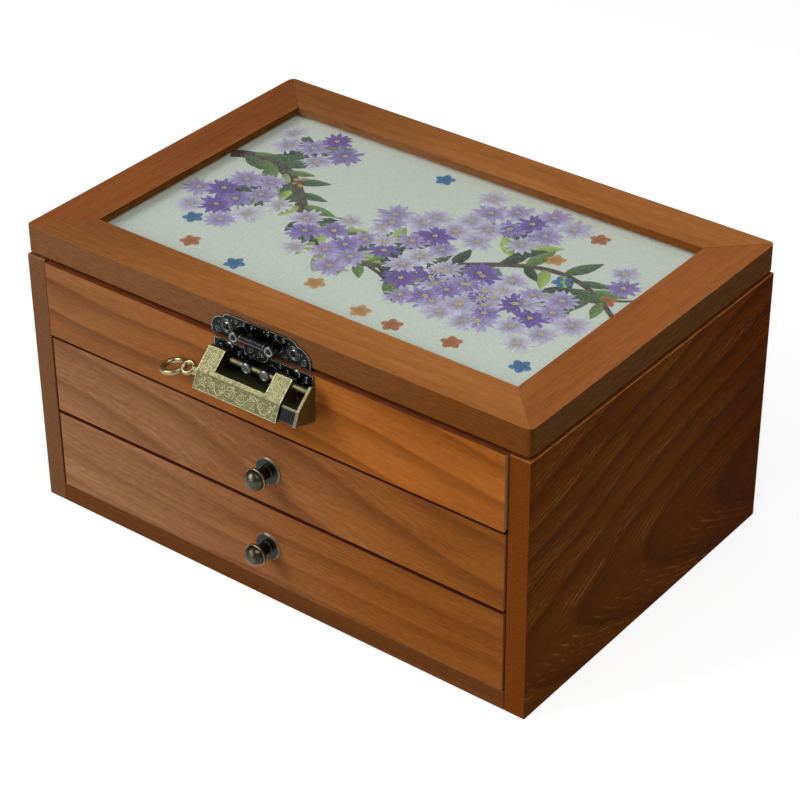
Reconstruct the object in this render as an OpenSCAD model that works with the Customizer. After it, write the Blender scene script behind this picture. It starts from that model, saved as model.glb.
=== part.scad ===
// Wooden keepsake box with a lift-up lid, a tray and two drawers, hasp and padlock.
// X runs along the width, -Y is the front, Z is up; the underside rests on z = 0.

/* [Case] */
// Outside width of the case
case_w = 300; // [240:1:360]
// Outside depth of the case over its side boards
case_d = 203; // [170:1:240]
// Height of the case without the lid
case_h = 142.5; // [130:0.5:160]
// Thickness of a side board
side_t = 11.5; // [9:0.5:15]
// Thickness of the back board
back_t = 11; // [8:0.5:14]
// Thickness of the bottom board
bottom_t = 11; // [8:0.5:14]
// Height of the underside of the fixed upper front board
upper_front_z = 101.6; // [98:0.1:104]
// How far the fixed upper front board stands proud of the side boards
upper_front_proud = 1.6; // [0:0.1:3]
// Thickness of the tray floor
tray_floor_t = 5; // [4:0.5:8]
// Thickness of the shelf between the drawers
divider_t = 4; // [3:0.5:6]
// Depth of the slots that hold the tray floor and the shelf
slot_depth = 4; // [2:0.5:6]

/* [Drawers] */
// Height of the seam between the two drawer fronts
drawer_seam_z = 56.4; // [50:0.1:60]
// Gap above and below a drawer front
drawer_gap = 1; // [0.4:0.1:1.2]
// Gap at the left of a front
front_left_gap = 1.8; // [0.5:0.1:2.5]
// Gap at the right of a front
front_right_gap = 0.7; // [0.5:0.1:2.5]
// Thickness of a drawer front
drawer_front_t = 12; // [10:0.5:15]
// How far a drawer front stands proud of the side boards
drawer_proud = 0.8; // [0:0.1:2]
// Thickness of the drawer side and back boards
drawer_board_t = 7; // [5:0.5:9]
// Thickness of a drawer bottom
drawer_bottom_t = 4; // [3:0.5:6]
// Height of a drawer bottom above the lower edge of its box
drawer_bottom_lift = 3; // [2:0.5:5]
// Depth of the grooves that hold a drawer bottom
drawer_groove = 3; // [2:0.5:4]
// Clearance between the back of a drawer and the back board
drawer_back_gap = 8.5; // [4:0.5:20]
// Thickness of the lining pads
lining_t = 2.4; // [1.5:0.1:4]
// Height of the crown of the lining pads
lining_crown = 0.8; // [0.4:0.1:2]

/* [Knobs] */
// Distance of the upper knob from the middle
upper_knob_x = 1.5; // [-5:0.1:5]
// Distance of the lower knob from the middle
lower_knob_x = -0.5; // [-5:0.1:5]
// Diameter of the knob's base plate
knob_plate_d = 14.8; // [12:0.2:22]
// Diameter of the knob's head
knob_head_d = 11.6; // [9:0.2:14]
// Diameter of the knob's stem
knob_stem_d = 6.4; // [5:0.1:8]
// Height of the knob above the drawer front
knob_h = 14.7; // [12:0.1:18]
// Height of the dome of the knob's head
knob_dome_h = 4.8; // [2:0.1:5]
// Drop of a knob below the middle of its drawer front
knob_drop = 1; // [0:0.1:3]
// Diameter of the screw that holds the knob
knob_screw_d = 3.4; // [3:0.1:4]

/* [Lid] */
// Shadow gap between the case and the lid frame
lid_gap = 2; // [1:0.1:3]
// Thickness of the lid frame
lid_t = 14.3; // [12:0.1:18]
// Radius of the lid's upright corners
lid_corner_r = 3.2; // [1:0.1:4]
// Setback of the lid edge behind the case edge
lid_inset = 0.4; // [0:0.1:1]
// Width of a lid rail
rail_w = 25; // [18:0.5:32]
// Thickness of the lip that covers the glass
rail_lip = 4.5; // [3:0.1:6]
// Width of the rebate under the lip
rebate_w = 7; // [4:0.5:9]
// Thickness of the glass
glass_t = 2; // [1.5:0.1:3]
// Thickness of the silk
silk_t = 0.6; // [0.4:0.1:1]
// Setback of the panel under the lid
lid_base_inset = 5; // [3:0.5:9]
// Clearance between the panel under the lid and the case rim
lid_rest_gap = 0.2; // [0.1:0.05:0.5]

/* [Hinges] */
// Distance of a hinge from the middle of the box
hinge_x = 95; // [60:1:120]
// Width of a hinge
hinge_w = 36; // [24:1:45]
// Thickness of a hinge leaf
leaf_t = 1.2; // [0.8:0.1:2]
// Height of the leaf on the case
case_leaf_h = 22; // [16:1:30]
// Height of the leaf on the lid
lid_leaf_h = 13; // [9:0.5:14]
// Outside diameter of a hinge knuckle
knuckle_d = 4.8; // [4:0.1:7]
// Diameter of a hinge pin
hinge_pin_d = 2.2; // [1.6:0.1:3]
// Diameter of a hinge screw
hinge_screw_d = 2.2; // [1.8:0.1:3]

/* [Hasp] */
// Middle of the upper hasp plate
upper_hasp_x = -0.6; // [-5:0.1:5]
// Middle of the lower hasp plate
lower_hasp_x = 2.4; // [-5:0.1:5]
// Width of a hasp plate
hasp_w = 59; // [45:1:70]
// Height of the upper hasp plate
upper_hasp_h = 12.6; // [10:0.1:15]
// Height of the lower hasp plate
lower_hasp_h = 16; // [12:0.1:18]
// Thickness of a hasp plate
hasp_t = 0.9; // [0.6:0.1:1.5]
// Rise of the upper plate's lower edge above the case
upper_hasp_rise = 0.4; // [0.3:0.1:3]
// Drop of the lower plate's upper edge below the top of the case
lower_hasp_drop = 0.2; // [0:0.1:2]
// Diameter of the drilled posts
post_d = 5.6; // [4.5:0.1:7]
// Spacing of the posts that carry the tongue
upper_post_gap = 21; // [18:0.5:26]
// Rise of the tongue's hinge line above the case
tongue_rise = 6.8; // [5:0.1:8]
// Distance of the tongue's hinge line in front of the case
tongue_reach = 5.1; // [4:0.1:8]
// Outside diameter of the tongue's barrel
tongue_barrel_d = 4.6; // [4:0.1:5.5]
// Diameter of the tongue's pin
tongue_pin_d = 2; // [1.5:0.1:2.4]
// Length of the tongue below its hinge line
tongue_l = 9.7; // [7:0.1:12]
// Thickness of the tongue
tongue_t = 1; // [0.8:0.1:1.5]
// Spacing of the posts that take the lock's rod
eye_gap = 10.8; // [9:0.1:14]
// Spacing of the nails in a plate
nail_gap = 40; // [36:1:46]
// Diameter of a nail head
nail_head_d = 3.8; // [3:0.1:5]
// Diameter of a nail
nail_d = 1.5; // [1.2:0.1:2]

/* [Padlock] */
// Distance of the lock's rod in front of the case
rod_reach = 6.5; // [6:0.1:9]
// Drop of the lock's rod below the top of the case
rod_drop = 6.3; // [5:0.1:8]
// Diameter of the rod
rod_d = 2.9; // [2:0.1:3.2]
// Lean of the hanging lock
lock_tilt = 15.9; // [10:0.1:20]
// Left end of the lock body
lock_left = -26.2; // [-32:0.1:-20]
// Length of the lock body
lock_len = 49.8; // [40:0.1:60]
// Height of the lock body
lock_h = 19.8; // [16:0.1:26]
// Height of the rod above the underside of the lock
rod_u = 16.4; // [14:0.1:20]
// Height of the crease of the lock body
crease_u = 8.9; // [6:0.1:12]
// Depth of the lock's underside in front of its rod
lock_half_foot = 9.4; // [7:0.1:11]
// Depth of the lock's underside behind its rod
lock_back_foot = 9; // [5:0.1:9.2]
// Depth of the lock's crease in front of its rod
lock_half_crease = 8.2; // [6:0.1:10]
// Half depth of the lock at its top
lock_half_top = 1.4; // [1.3:0.1:3]
// Height of the saddle between the horns
saddle_u = 10.6; // [10:0.1:13]
// Width of a horn
horn_w = 9.8; // [7:0.1:12]
// Distance between the lock body and the end plate
shackle_out = 9.4; // [2:0.1:20]
// Thickness of the end plate
end_plate_t = 1.8; // [1.2:0.1:3]
// Depth of the end plate's foot behind the rod
plate_back_foot = 6.6; // [5:0.1:9]
// Thickness of the lock body's walls
lock_wall = 1.1; // [0.9:0.1:1.5]

/* [Key] */
// Width of the flat key shank
key_w = 4; // [3:0.1:5]
// Thickness of the flat key shank
key_t = 2.4; // [1.5:0.1:3]
// Middle of the key's small ring
collar_x = -37.4; // [-42:0.1:-34]
// Radius of the small ring
collar_r = 2.9; // [2.5:0.1:4.5]
// Wire radius of the small ring
collar_wire = 1.2; // [0.8:0.1:1.5]
// Radius of the key's bow
bow_r = 5.6; // [5:0.1:7]
// Wire radius of the bow
bow_wire = 1.4; // [0.8:0.1:1.6]
// Distance of the bow from the small ring
bow_out = 9.4; // [8:0.1:10]
// Drop of the bow below the small ring
bow_drop = 2.8; // [0:0.1:3]
// Lean of the bow along the key
bow_lean = 10; // [0:1:30]
// Roll of the bow towards the front
bow_roll = 21; // [0:1:40]
// Roll of the small ring towards the front
collar_roll = 40; // [0:1:90]

/* [View] */
// Roundness of curved faces
$fn = 64; // [24:4:128]

/* [Hidden] */
half_w = case_w / 2;
front_y = -case_d / 2;
back_y = case_d / 2;
inner_x = half_w - side_t;
inner_back_y = back_y - back_t;
fit = 0.05;
loose = 0.3;
post_front = 2.4;

drawer_face_y = front_y - drawer_proud;
drawer_back_of_front_y = drawer_face_y + drawer_front_t;
upper_face_y = front_y - upper_front_proud;
upper_web_y = upper_face_y + 5;
upper_front_back_y = drawer_back_of_front_y - 1.2;
tray_floor_z = upper_front_z + 0.3;
tray_floor_top = tray_floor_z + tray_floor_t;
divider_z = drawer_seam_z - divider_t / 2;
divider_front_y = drawer_back_of_front_y + 0.6;
board_run = 0.4;
box_top_gap = 2.4;
front_left_x = front_left_gap - inner_x;
front_right_x = inner_x - front_right_gap;
drawer_box_half = inner_x - 0.8;
drawer_end_y = inner_back_y - drawer_back_gap;
lower_box_z = bottom_t + board_run;
lower_box_top = divider_z - box_top_gap;
upper_box_z = divider_z + divider_t + board_run;
upper_box_top = tray_floor_z - box_top_gap;
lower_front_z = bottom_t + drawer_gap;
lower_front_top = drawer_seam_z - drawer_gap;
upper_drawer_front_z = drawer_seam_z + drawer_gap;
upper_drawer_front_top = upper_front_z - 2 * drawer_gap;
lower_knob_z = (lower_front_z + lower_front_top) / 2 - knob_drop;
upper_knob_z = (upper_drawer_front_z + upper_drawer_front_top) / 2 - knob_drop;
lining_corner_r = 3;
crown_corner_r = 6;
crown_inset = 6;
knob_screw_bite = 6;
knob_seat = 1.1;
knob_foot_flare = 0.4;
knob_screw_head_d = 7;
knob_screw_top_d = 4.6;
knob_screw_rim = 1.4;
knob_screw_dome = 0.9;

lid_z = case_h + lid_gap;
lid_top = lid_z + lid_t;
lid_half_w = half_w - lid_inset;
lid_half_d = case_d / 2 - lid_inset;
lip_z = lid_top - rail_lip;
glass_z = lip_z - glass_t;
silk_z = glass_z - silk_t;
open_half_w = lid_half_w - rail_w;
open_half_d = lid_half_d - rail_w;
rebate_half_w = open_half_w + rebate_w;
rebate_half_d = open_half_d + rebate_w;

hinge_y = back_y + knuckle_d / 2;
hinge_z = case_h + lid_gap / 2;
knuckle_l = (hinge_w - 2 * loose) / 3;
screw_head_d = 4.6;
screw_head_h = 0.9;
screw_l = 8;

plate_upper_y = -lid_half_d;
upper_hasp_z = case_h + upper_hasp_rise;
lower_hasp_z = case_h - lower_hasp_drop;
tongue_z = case_h + tongue_rise;
rod_z = case_h - rod_drop;
upper_nail_rise = 6;
lower_nail_drop = 2.1;
hasp_lobe_r = 7;
hasp_lobe_drop = 9.5;
hasp_cap_r = 4;
hasp_cap_in = 4;
plate_lower_y = upper_face_y;
tongue_y = front_y - tongue_reach;
rod_y = front_y - rod_reach;
upper_nail_z = upper_hasp_z + upper_nail_rise;
lower_nail_z = lower_hasp_z - lower_nail_drop;
nail_l = 8;
barrel_half = upper_post_gap / 2 - post_d / 2 - loose;

lock_right = lock_left + lock_len;
horn_in_left = lock_left + horn_w;
horn_in_right = lock_right - horn_w;
rod_left = -13.3;
rod_bore_end = lock_left + 2;
throat_in = 14;
stem_in = 10;
key_in = 9;
throat_left = lock_left + throat_in;
throat_low = 1.2;
throat_high = 9.2;
throat_back = 4.4;
block_gap = 0.35;
stem_t = 1.25;
spring_t = 1;
stem_left = throat_left + stem_in;
stem_low = throat_high - block_gap - stem_t;
plate_foot = 1.4;
key_u = 4.4;
bow_back = 0.8;
key_end = lock_left + key_in;

// A board between two opposite corners
module board(low, high) {
    translate(low)
        cube(high - low);
}

// A flat shape in Y and Z drawn out along X
module along_x(from_x, to_x) {
    translate([from_x, 0, 0])
        rotate([90, 0, 90])
            linear_extrude(to_x - from_x)
                children();
}

// A round bar along X
module bar_x(from_x, to_x, y, z, d) {
    translate([from_x, y, z])
        rotate([0, 90, 0])
            cylinder(d = d, h = to_x - from_x);
}

// A round bar along Y, from the front towards the back
module bar_y(x, from_y, to_y, z, d) {
    translate([x, to_y, z])
        rotate([90, 0, 0])
            cylinder(d = d, h = to_y - from_y);
}

// Places children on a face that looks to the front, their Z axis pointing out of it
module on_front(x, y, z) {
    translate([x, y, z])
        rotate([90, 0, 0])
            children();
}

// Places children on a face that looks to the back
module on_back(x, y, z) {
    translate([x, y, z])
        rotate([-90, 0, 0])
            children();
}

// Flat outline with rounded corners, centred
module round_rect(w, l, r) {
    square([w - 2 * r, l], center = true);
    square([w, l - 2 * r], center = true);
    for (sx = [-1, 1], sy = [-1, 1])
        translate([sx * (w / 2 - r), sy * (l / 2 - r)])
            circle(r);
}

// Screw with a low domed head; its Z axis points out of the face
module screw(d, head_d, head_h, l) {
    translate([0, 0, -l])
        cylinder(d = d, h = l + head_h / 2);
    cylinder(d = head_d, h = head_h / 2);
    translate([0, 0, head_h / 2])
        cylinder(d1 = head_d, d2 = head_d * 0.6, h = head_h / 2);
}

// Side board with slots for the shelf and the tray floor
module side_board() {
    difference() {
        board([inner_x, front_y, 0], [half_w, back_y, case_h]);
        board([inner_x - 1, upper_front_back_y, tray_floor_z],
            [inner_x + slot_depth, inner_back_y, tray_floor_top]);
        board([inner_x - 1, divider_front_y, divider_z],
            [inner_x + slot_depth, inner_back_y, divider_z + divider_t]);
    }
}

module left_side() {
    color([0.45, 0.28, 0.17])
        mirror([1, 0, 0])
            side_board();
}

module right_side() {
    color([0.36, 0.21, 0.11])
        side_board();
}

// Places of the screws of one hinge leaf, counted from the hinge line
module leaf_screw_places(rise) {
    for (hx = [-hinge_x, hinge_x], sx = [-1, 0, 1])
        translate([hx + sx * hinge_w * 0.32, 0, hinge_z + rise * (sx == 0 ? 0.72 : 0.5)])
            children();
}

module back_panel() {
    color([0.45, 0.28, 0.17])
        difference() {
            board([-inner_x, inner_back_y, bottom_t], [inner_x, back_y, case_h]);
            leaf_screw_places(-case_leaf_h)
                bar_y(0, back_y - screw_l - 1, back_y + 1, 0, hinge_screw_d + 2 * fit);
        }
}

module bottom_panel() {
    color([0.45, 0.28, 0.17])
        board([-inner_x, front_y, 0], [inner_x, back_y, bottom_t]);
}

module upper_front() {
    color([0.55, 0.33, 0.17])
        difference() {
            union() {
                board([front_left_x, upper_face_y, upper_front_z], [front_right_x, upper_web_y, case_h]);
                board([-inner_x, upper_web_y, upper_front_z], [inner_x, upper_front_back_y, case_h]);
            }
            nail_places(lower_hasp_x, lower_nail_z)
                bar_y(0, upper_face_y - 1, upper_face_y + nail_l + 1, 0, nail_d + 2 * fit);
        }
}

module tray_floor() {
    color([0.6, 0.42, 0.26])
        board([-inner_x - slot_depth, upper_front_back_y, tray_floor_z],
            [inner_x + slot_depth, inner_back_y, tray_floor_top]);
}

module drawer_divider() {
    color([0.6, 0.42, 0.26])
        board([-inner_x - slot_depth, divider_front_y, divider_z],
            [inner_x + slot_depth, inner_back_y, divider_z + divider_t]);
}

// Lining pad with rounded corners and a raised crown
module lining_pad(half_x, low_y, high_y, z) {
    pad_l = high_y - low_y;
    translate([0, (low_y + high_y) / 2, z]) {
        linear_extrude(lining_t)
            round_rect(2 * half_x, pad_l, lining_corner_r);
        translate([0, 0, lining_t])
            linear_extrude(lining_crown)
                round_rect(2 * (half_x - crown_inset), pad_l - 2 * crown_inset, crown_corner_r);
    }
}

module tray_lining() {
    color([0.42, 0.09, 0.12])
        lining_pad(inner_x - 0.4, upper_front_back_y + 0.4, inner_back_y - 0.4, tray_floor_top);
}

// Two knuckles of a hinge at the case, or the one between them at the lid
module case_knuckles(d) {
    bar_x(-hinge_w / 2, -hinge_w / 2 + knuckle_l, hinge_y, hinge_z, d);
    bar_x(hinge_w / 2 - knuckle_l, hinge_w / 2, hinge_y, hinge_z, d);
}

module lid_knuckle(d) {
    bar_x(-knuckle_l / 2, knuckle_l / 2, hinge_y, hinge_z, d);
}

module case_hinge_leaves() {
    color([0.62, 0.5, 0.26])
        for (hx = [-hinge_x, hinge_x])
            difference() {
                translate([hx, 0, 0])
                    difference() {
                        union() {
                            board([-hinge_w / 2, back_y, hinge_z - case_leaf_h],
                                [hinge_w / 2, back_y + leaf_t, hinge_z]);
                            case_knuckles(knuckle_d);
                        }
                        board([-knuckle_l / 2 - loose, back_y - 1, hinge_z - knuckle_d / 2 - loose],
                            [knuckle_l / 2 + loose, back_y + knuckle_d + 1, hinge_z + knuckle_d]);
                        bar_x(-hinge_w, hinge_w, hinge_y, hinge_z, hinge_pin_d);
                    }
                leaf_screw_places(-case_leaf_h)
                    bar_y(0, back_y - 1, back_y + leaf_t + 1, 0, hinge_screw_d + 2 * fit);
            }
}

module lid_hinge_leaves() {
    color([0.62, 0.5, 0.26])
        for (hx = [-hinge_x, hinge_x])
            difference() {
                translate([hx, 0, 0])
                    difference() {
                        union() {
                            board([-hinge_w / 2, lid_half_d, hinge_z],
                                [hinge_w / 2, back_y + leaf_t, hinge_z + lid_leaf_h]);
                            lid_knuckle(knuckle_d);
                        }
                        for (side = [-1, 1])
                            translate([side * hinge_w / 2, 0, 0])
                                board([-knuckle_l - loose, back_y - 1, hinge_z - knuckle_d],
                                    [knuckle_l + loose, back_y + knuckle_d + 1,
                                        hinge_z + knuckle_d / 2 + loose]);
                        board([-hinge_w / 2 - 1, lid_half_d - 1, hinge_z - knuckle_d],
                            [hinge_w / 2 + 1, back_y, lid_z]);
                        bar_x(-hinge_w, hinge_w, hinge_y, hinge_z, hinge_pin_d + 2 * fit);
                    }
                leaf_screw_places(lid_leaf_h)
                    bar_y(0, lid_half_d - 1, back_y + leaf_t + 1, 0, hinge_screw_d + 2 * fit);
            }
}

module hinge_pins() {
    color([0.7, 0.58, 0.32])
        for (hx = [-hinge_x, hinge_x])
            bar_x(hx - hinge_w / 2 - 0.4, hx + hinge_w / 2 + 0.4, hinge_y, hinge_z, hinge_pin_d);
}

module case_hinge_screws() {
    color([0.7, 0.58, 0.32])
        leaf_screw_places(-case_leaf_h)
            on_back(0, back_y + leaf_t, 0)
                screw(hinge_screw_d, screw_head_d, screw_head_h, screw_l);
}

module lid_hinge_screws() {
    color([0.7, 0.58, 0.32])
        leaf_screw_places(lid_leaf_h)
            on_back(0, back_y + leaf_t, 0)
                screw(hinge_screw_d, screw_head_d, screw_head_h, screw_l);
}

// Cloud-ended outline of a hasp plate, its long straight edge on the X axis
module hasp_outline(plate_h) {
    lobe_y = plate_h - hasp_lobe_drop;
    lobe_x = hasp_w / 2 - hasp_lobe_r;
    cap_x = lobe_x - hasp_cap_in;
    intersection() {
        translate([-hasp_w / 2, 0])
            square([hasp_w, plate_h]);
        union() {
            translate([-lobe_x, 0])
                square([2 * lobe_x, lobe_y + hasp_lobe_r]);
            translate([-hasp_w / 2, 0])
                square([hasp_w, lobe_y]);
            translate([-cap_x, 0])
                square([2 * cap_x, plate_h]);
            for (side = [-1, 1]) {
                translate([side * lobe_x, lobe_y])
                    circle(hasp_lobe_r);
                translate([side * cap_x, plate_h - hasp_cap_r])
                    circle(hasp_cap_r);
            }
        }
    }
}

// Round post with a dished and bevelled front, standing on a plate
module post(l) {
    r = post_d / 2;
    bevel = 0.5;
    dish = 0.35;
    rotate_extrude()
        polygon([[0, 0], [r, 0], [r, l - bevel], [r - bevel, l], [r * 0.66, l], [r * 0.58, l - dish],
            [0, l - dish]]);
}

module nail_places(x, z) {
    for (side = [-1, 1])
        translate([x + side * nail_gap / 2, 0, z])
            children();
}

// Nail with a domed head
module nail() {
    head_h = 0.9;
    head_r = nail_head_d / 2;
    ball_r = (head_r * head_r + head_h * head_h) / (2 * head_h);
    translate([0, 0, -nail_l])
        cylinder(d = nail_d, h = nail_l + head_h / 2);
    rotate_extrude()
        intersection() {
            translate([0, head_h - ball_r])
                circle(ball_r);
            square([head_r, head_h]);
        }
}

module lower_hasp_plate() {
    eye_front_y = rod_y - post_front;
    color([0.12, 0.12, 0.12])
        difference() {
            union() {
                translate([lower_hasp_x, plate_lower_y, lower_hasp_z])
                    rotate([90, 0, 0])
                        linear_extrude(hasp_t)
                            mirror([0, 1])
                                hasp_outline(lower_hasp_h);
                for (side = [-1, 1])
                    on_front(lower_hasp_x + side * eye_gap / 2, plate_lower_y - hasp_t / 2, rod_z)
                        post(plate_lower_y - hasp_t / 2 - eye_front_y);
            }
            bar_x(lower_hasp_x - eye_gap, lower_hasp_x + eye_gap, rod_y, rod_z, rod_d + 2 * fit);
            nail_places(lower_hasp_x, lower_nail_z)
                bar_y(0, plate_lower_y - 2, plate_lower_y + 1, 0, nail_d + 2 * fit);
        }
}

module lower_hasp_nails() {
    color([0.2, 0.2, 0.2])
        nail_places(lower_hasp_x, lower_nail_z)
            on_front(0, plate_lower_y - hasp_t, 0)
                nail();
}

module upper_hasp_plate() {
    post_front_y = tongue_y - post_front;
    color([0.12, 0.12, 0.12])
        difference() {
            union() {
                translate([upper_hasp_x, plate_upper_y, upper_hasp_z])
                    rotate([90, 0, 0])
                        linear_extrude(hasp_t)
                            hasp_outline(upper_hasp_h);
                for (side = [-1, 1])
                    on_front(upper_hasp_x + side * upper_post_gap / 2, plate_upper_y - hasp_t / 2, tongue_z)
                        post(plate_upper_y - hasp_t / 2 - post_front_y);
            }
            bar_x(upper_hasp_x - upper_post_gap, upper_hasp_x + upper_post_gap, tongue_y, tongue_z,
                tongue_pin_d);
            nail_places(upper_hasp_x, upper_nail_z)
                bar_y(0, plate_upper_y - 2, plate_upper_y + 1, 0, nail_d + 2 * fit);
        }
}

module upper_hasp_nails() {
    color([0.2, 0.2, 0.2])
        nail_places(upper_hasp_x, upper_nail_z)
            on_front(0, plate_upper_y - hasp_t, 0)
                nail();
}

module tongue_pin() {
    pin_half = upper_post_gap / 2 + post_d / 2;
    color([0.25, 0.25, 0.25])
        bar_x(upper_hasp_x - pin_half, upper_hasp_x + pin_half, tongue_y, tongue_z, tongue_pin_d);
}

// Rolled barrel with a short rounded flap hanging from it
module hasp_tongue() {
    flap_back_y = tongue_y + tongue_barrel_d / 2;
    corner_r = 4;
    color([0.14, 0.14, 0.15])
        difference() {
            union() {
                bar_x(upper_hasp_x - barrel_half, upper_hasp_x + barrel_half, tongue_y, tongue_z,
                    tongue_barrel_d);
                translate([upper_hasp_x, flap_back_y, tongue_z])
                    rotate([90, 0, 0])
                        linear_extrude(tongue_t) {
                            translate([-barrel_half, -tongue_l + corner_r])
                                square([2 * barrel_half, tongue_l - corner_r]);
                            translate([-barrel_half + corner_r, -tongue_l])
                                square([2 * barrel_half - 2 * corner_r, tongue_l]);
                            for (side = [-1, 1])
                                translate([side * (barrel_half - corner_r), -tongue_l + corner_r])
                                    circle(corner_r);
                        }
            }
            bar_x(upper_hasp_x - upper_post_gap, upper_hasp_x + upper_post_gap, tongue_y, tongue_z,
                tongue_pin_d + 2 * fit);
        }
}

// Room for the glass, the silk and the backing under the lip of the lid frame
module lid_rebate() {
    board([-rebate_half_w, -rebate_half_d, lid_z - 1], [rebate_half_w, rebate_half_d, lip_z]);
}

// Block of the lid's height with its upright corners rounded
module lid_outline() {
    translate([0, 0, lid_z])
        linear_extrude(lid_t)
            round_rect(2 * lid_half_w, 2 * lid_half_d, lid_corner_r);
}

// Mitred rail along X at the front of the lid
module long_rail() {
    difference() {
        intersection() {
            translate([0, 0, lid_z])
                linear_extrude(lid_t)
                    polygon([[-lid_half_w, -lid_half_d], [lid_half_w, -lid_half_d],
                        [open_half_w, -open_half_d], [-open_half_w, -open_half_d]]);
            lid_outline();
        }
        lid_rebate();
    }
}

// Mitred rail along Y at the right of the lid
module short_rail() {
    difference() {
        intersection() {
            translate([0, 0, lid_z])
                linear_extrude(lid_t)
                    polygon([[lid_half_w, -lid_half_d], [lid_half_w, lid_half_d],
                        [open_half_w, open_half_d], [open_half_w, -open_half_d]]);
            lid_outline();
        }
        lid_rebate();
    }
}

module lid_front_rail() {
    color([0.6, 0.37, 0.19])
        difference() {
            long_rail();
            nail_places(upper_hasp_x, upper_nail_z)
                bar_y(0, plate_upper_y - 1, plate_upper_y + nail_l + 1, 0, nail_d + 2 * fit);
        }
}

module lid_back_rail() {
    color([0.6, 0.37, 0.19])
        difference() {
            mirror([0, 1, 0])
                long_rail();
            leaf_screw_places(lid_leaf_h)
                bar_y(0, lid_half_d - screw_l - 1, lid_half_d + 1, 0, hinge_screw_d + 2 * fit);
        }
}

module lid_left_rail() {
    color([0.6, 0.37, 0.19])
        mirror([1, 0, 0])
            short_rail();
}

module lid_right_rail() {
    color([0.6, 0.37, 0.19])
        short_rail();
}

module lid_glass() {
    color([0.85, 0.92, 0.9, 0.35])
        board([-rebate_half_w, -rebate_half_d, glass_z], [rebate_half_w, rebate_half_d, lip_z]);
}

module lid_silk() {
    color([0.75, 0.78, 0.73])
        board([-rebate_half_w, -rebate_half_d, silk_z], [rebate_half_w, rebate_half_d, glass_z]);
}

module lid_backing() {
    color([0.7, 0.55, 0.38])
        board([-rebate_half_w, -rebate_half_d, lid_z], [rebate_half_w, rebate_half_d, silk_z]);
}

module lid_base() {
    half_x = lid_half_w - lid_base_inset;
    half_y = lid_half_d - lid_base_inset;
    color([0.55, 0.36, 0.2])
        board([-half_x, -half_y, case_h + lid_rest_gap], [half_x, half_y, lid_z]);
}

// Places children in the leaning frame of the lock, its underside at zero height
module in_lock() {
    translate([0, rod_y, rod_z])
        rotate([-lock_tilt, 0, 0])
            translate([0, 0, -rod_u])
                children();
}

// Cross-section of the lock, from a chosen height above its underside; its back is flat
module lock_section(low, back_foot) {
    low_front = lock_half_foot + (lock_half_crease - lock_half_foot) * low / crease_u;
    low_back = back_foot + (lock_half_top - back_foot) * low / lock_h;
    polygon([[-low_front, low], [low_back, low], [lock_half_top, lock_h], [-lock_half_top, lock_h],
        [-lock_half_crease, crease_u]]);
}

// Cross-section of the hollow in the lock, drawn in by a gap on every side
module throat_section(gap) {
    front_low = lock_half_foot - lock_wall - gap;
    front_high = lock_half_crease - lock_wall - gap;
    polygon([[-front_low, throat_low + gap], [throat_back - gap, throat_low + gap],
        [throat_back - gap, throat_high - gap], [-front_high, throat_high - gap]]);
}

module lock_body() {
    color([0.6, 0.57, 0.4])
        in_lock()
            difference() {
                along_x(lock_left, lock_right)
                    lock_section(0, lock_back_foot);
                board([horn_in_left, -lock_half_foot, saddle_u], [horn_in_right, lock_half_foot, lock_h + 1]);
                along_x(throat_left, lock_right + 1)
                    throat_section(0);
                bar_x(rod_bore_end, lock_right + 1, 0, rod_u, rod_d + 2 * fit);
                board([lock_left - 1, -key_t / 2 - loose, key_u - key_w / 2 - loose],
                    [key_end + 1, key_t / 2 + loose, key_u + key_w / 2 + loose]);
            }
}

module lock_shackle() {
    plate_left = lock_right + shackle_out;
    color([0.62, 0.59, 0.42])
        in_lock() {
            along_x(plate_left, plate_left + end_plate_t)
                lock_section(plate_foot, plate_back_foot);
            bar_x(rod_left, plate_left + end_plate_t / 2, 0, rod_u, rod_d);
            along_x(stem_left, plate_left + end_plate_t / 2)
                intersection() {
                    throat_section(block_gap);
                    translate([-lock_half_foot, stem_low])
                        square([2 * lock_half_foot, stem_t]);
                }
        }
}

// Room between the spring leaves
module leaf_hollow() {
    inset = block_gap + spring_t;
    front_low = lock_half_foot - lock_wall - inset;
    front_high = lock_half_crease - lock_wall - inset;
    polygon([[-front_low, throat_low], [throat_back - inset, throat_low], [throat_back - inset, throat_high],
        [-front_high, throat_high]]);
}

// Front and back spring leaves that hang from the stem
module lock_springs() {
    color([0.4, 0.42, 0.43])
        in_lock()
            along_x(stem_left, lock_right + shackle_out)
                difference() {
                    throat_section(block_gap);
                    leaf_hollow();
                    translate([-lock_half_foot, stem_low])
                        square([2 * lock_half_foot, lock_h]);
                }
}

// Ring of round wire lying flat
module wire_ring(r, wire) {
    rotate_extrude()
        translate([r, 0])
            circle(wire);
}

// Flat key with a small upright ring and a larger leaning ring as its bow
module lock_key() {
    color([0.78, 0.66, 0.34])
        in_lock()
            translate([0, 0, key_u]) {
                translate([collar_x, 0, 0])
                    rotate([90 - collar_roll, 0, 0])
                        wire_ring(collar_r, collar_wire);
                translate([collar_x - bow_out, bow_back, -bow_drop])
                    rotate([bow_roll, -bow_lean, 0])
                        wire_ring(bow_r, bow_wire);
                board([collar_x + collar_r, -key_t / 2, -key_w / 2], [key_end, key_t / 2, key_w / 2]);
            }
}

// Drawer front with its groove for the bottom and a hole for the knob's screw
module drawer_front(z, top, box_z, knob_x, knob_z) {
    difference() {
        board([front_left_x, drawer_face_y, z], [front_right_x, drawer_back_of_front_y, top]);
        drawer_floor(box_z);
        bar_y(knob_x, drawer_face_y - 1, drawer_back_of_front_y + 1, knob_z, knob_screw_d + 2 * fit);
    }
}

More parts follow.
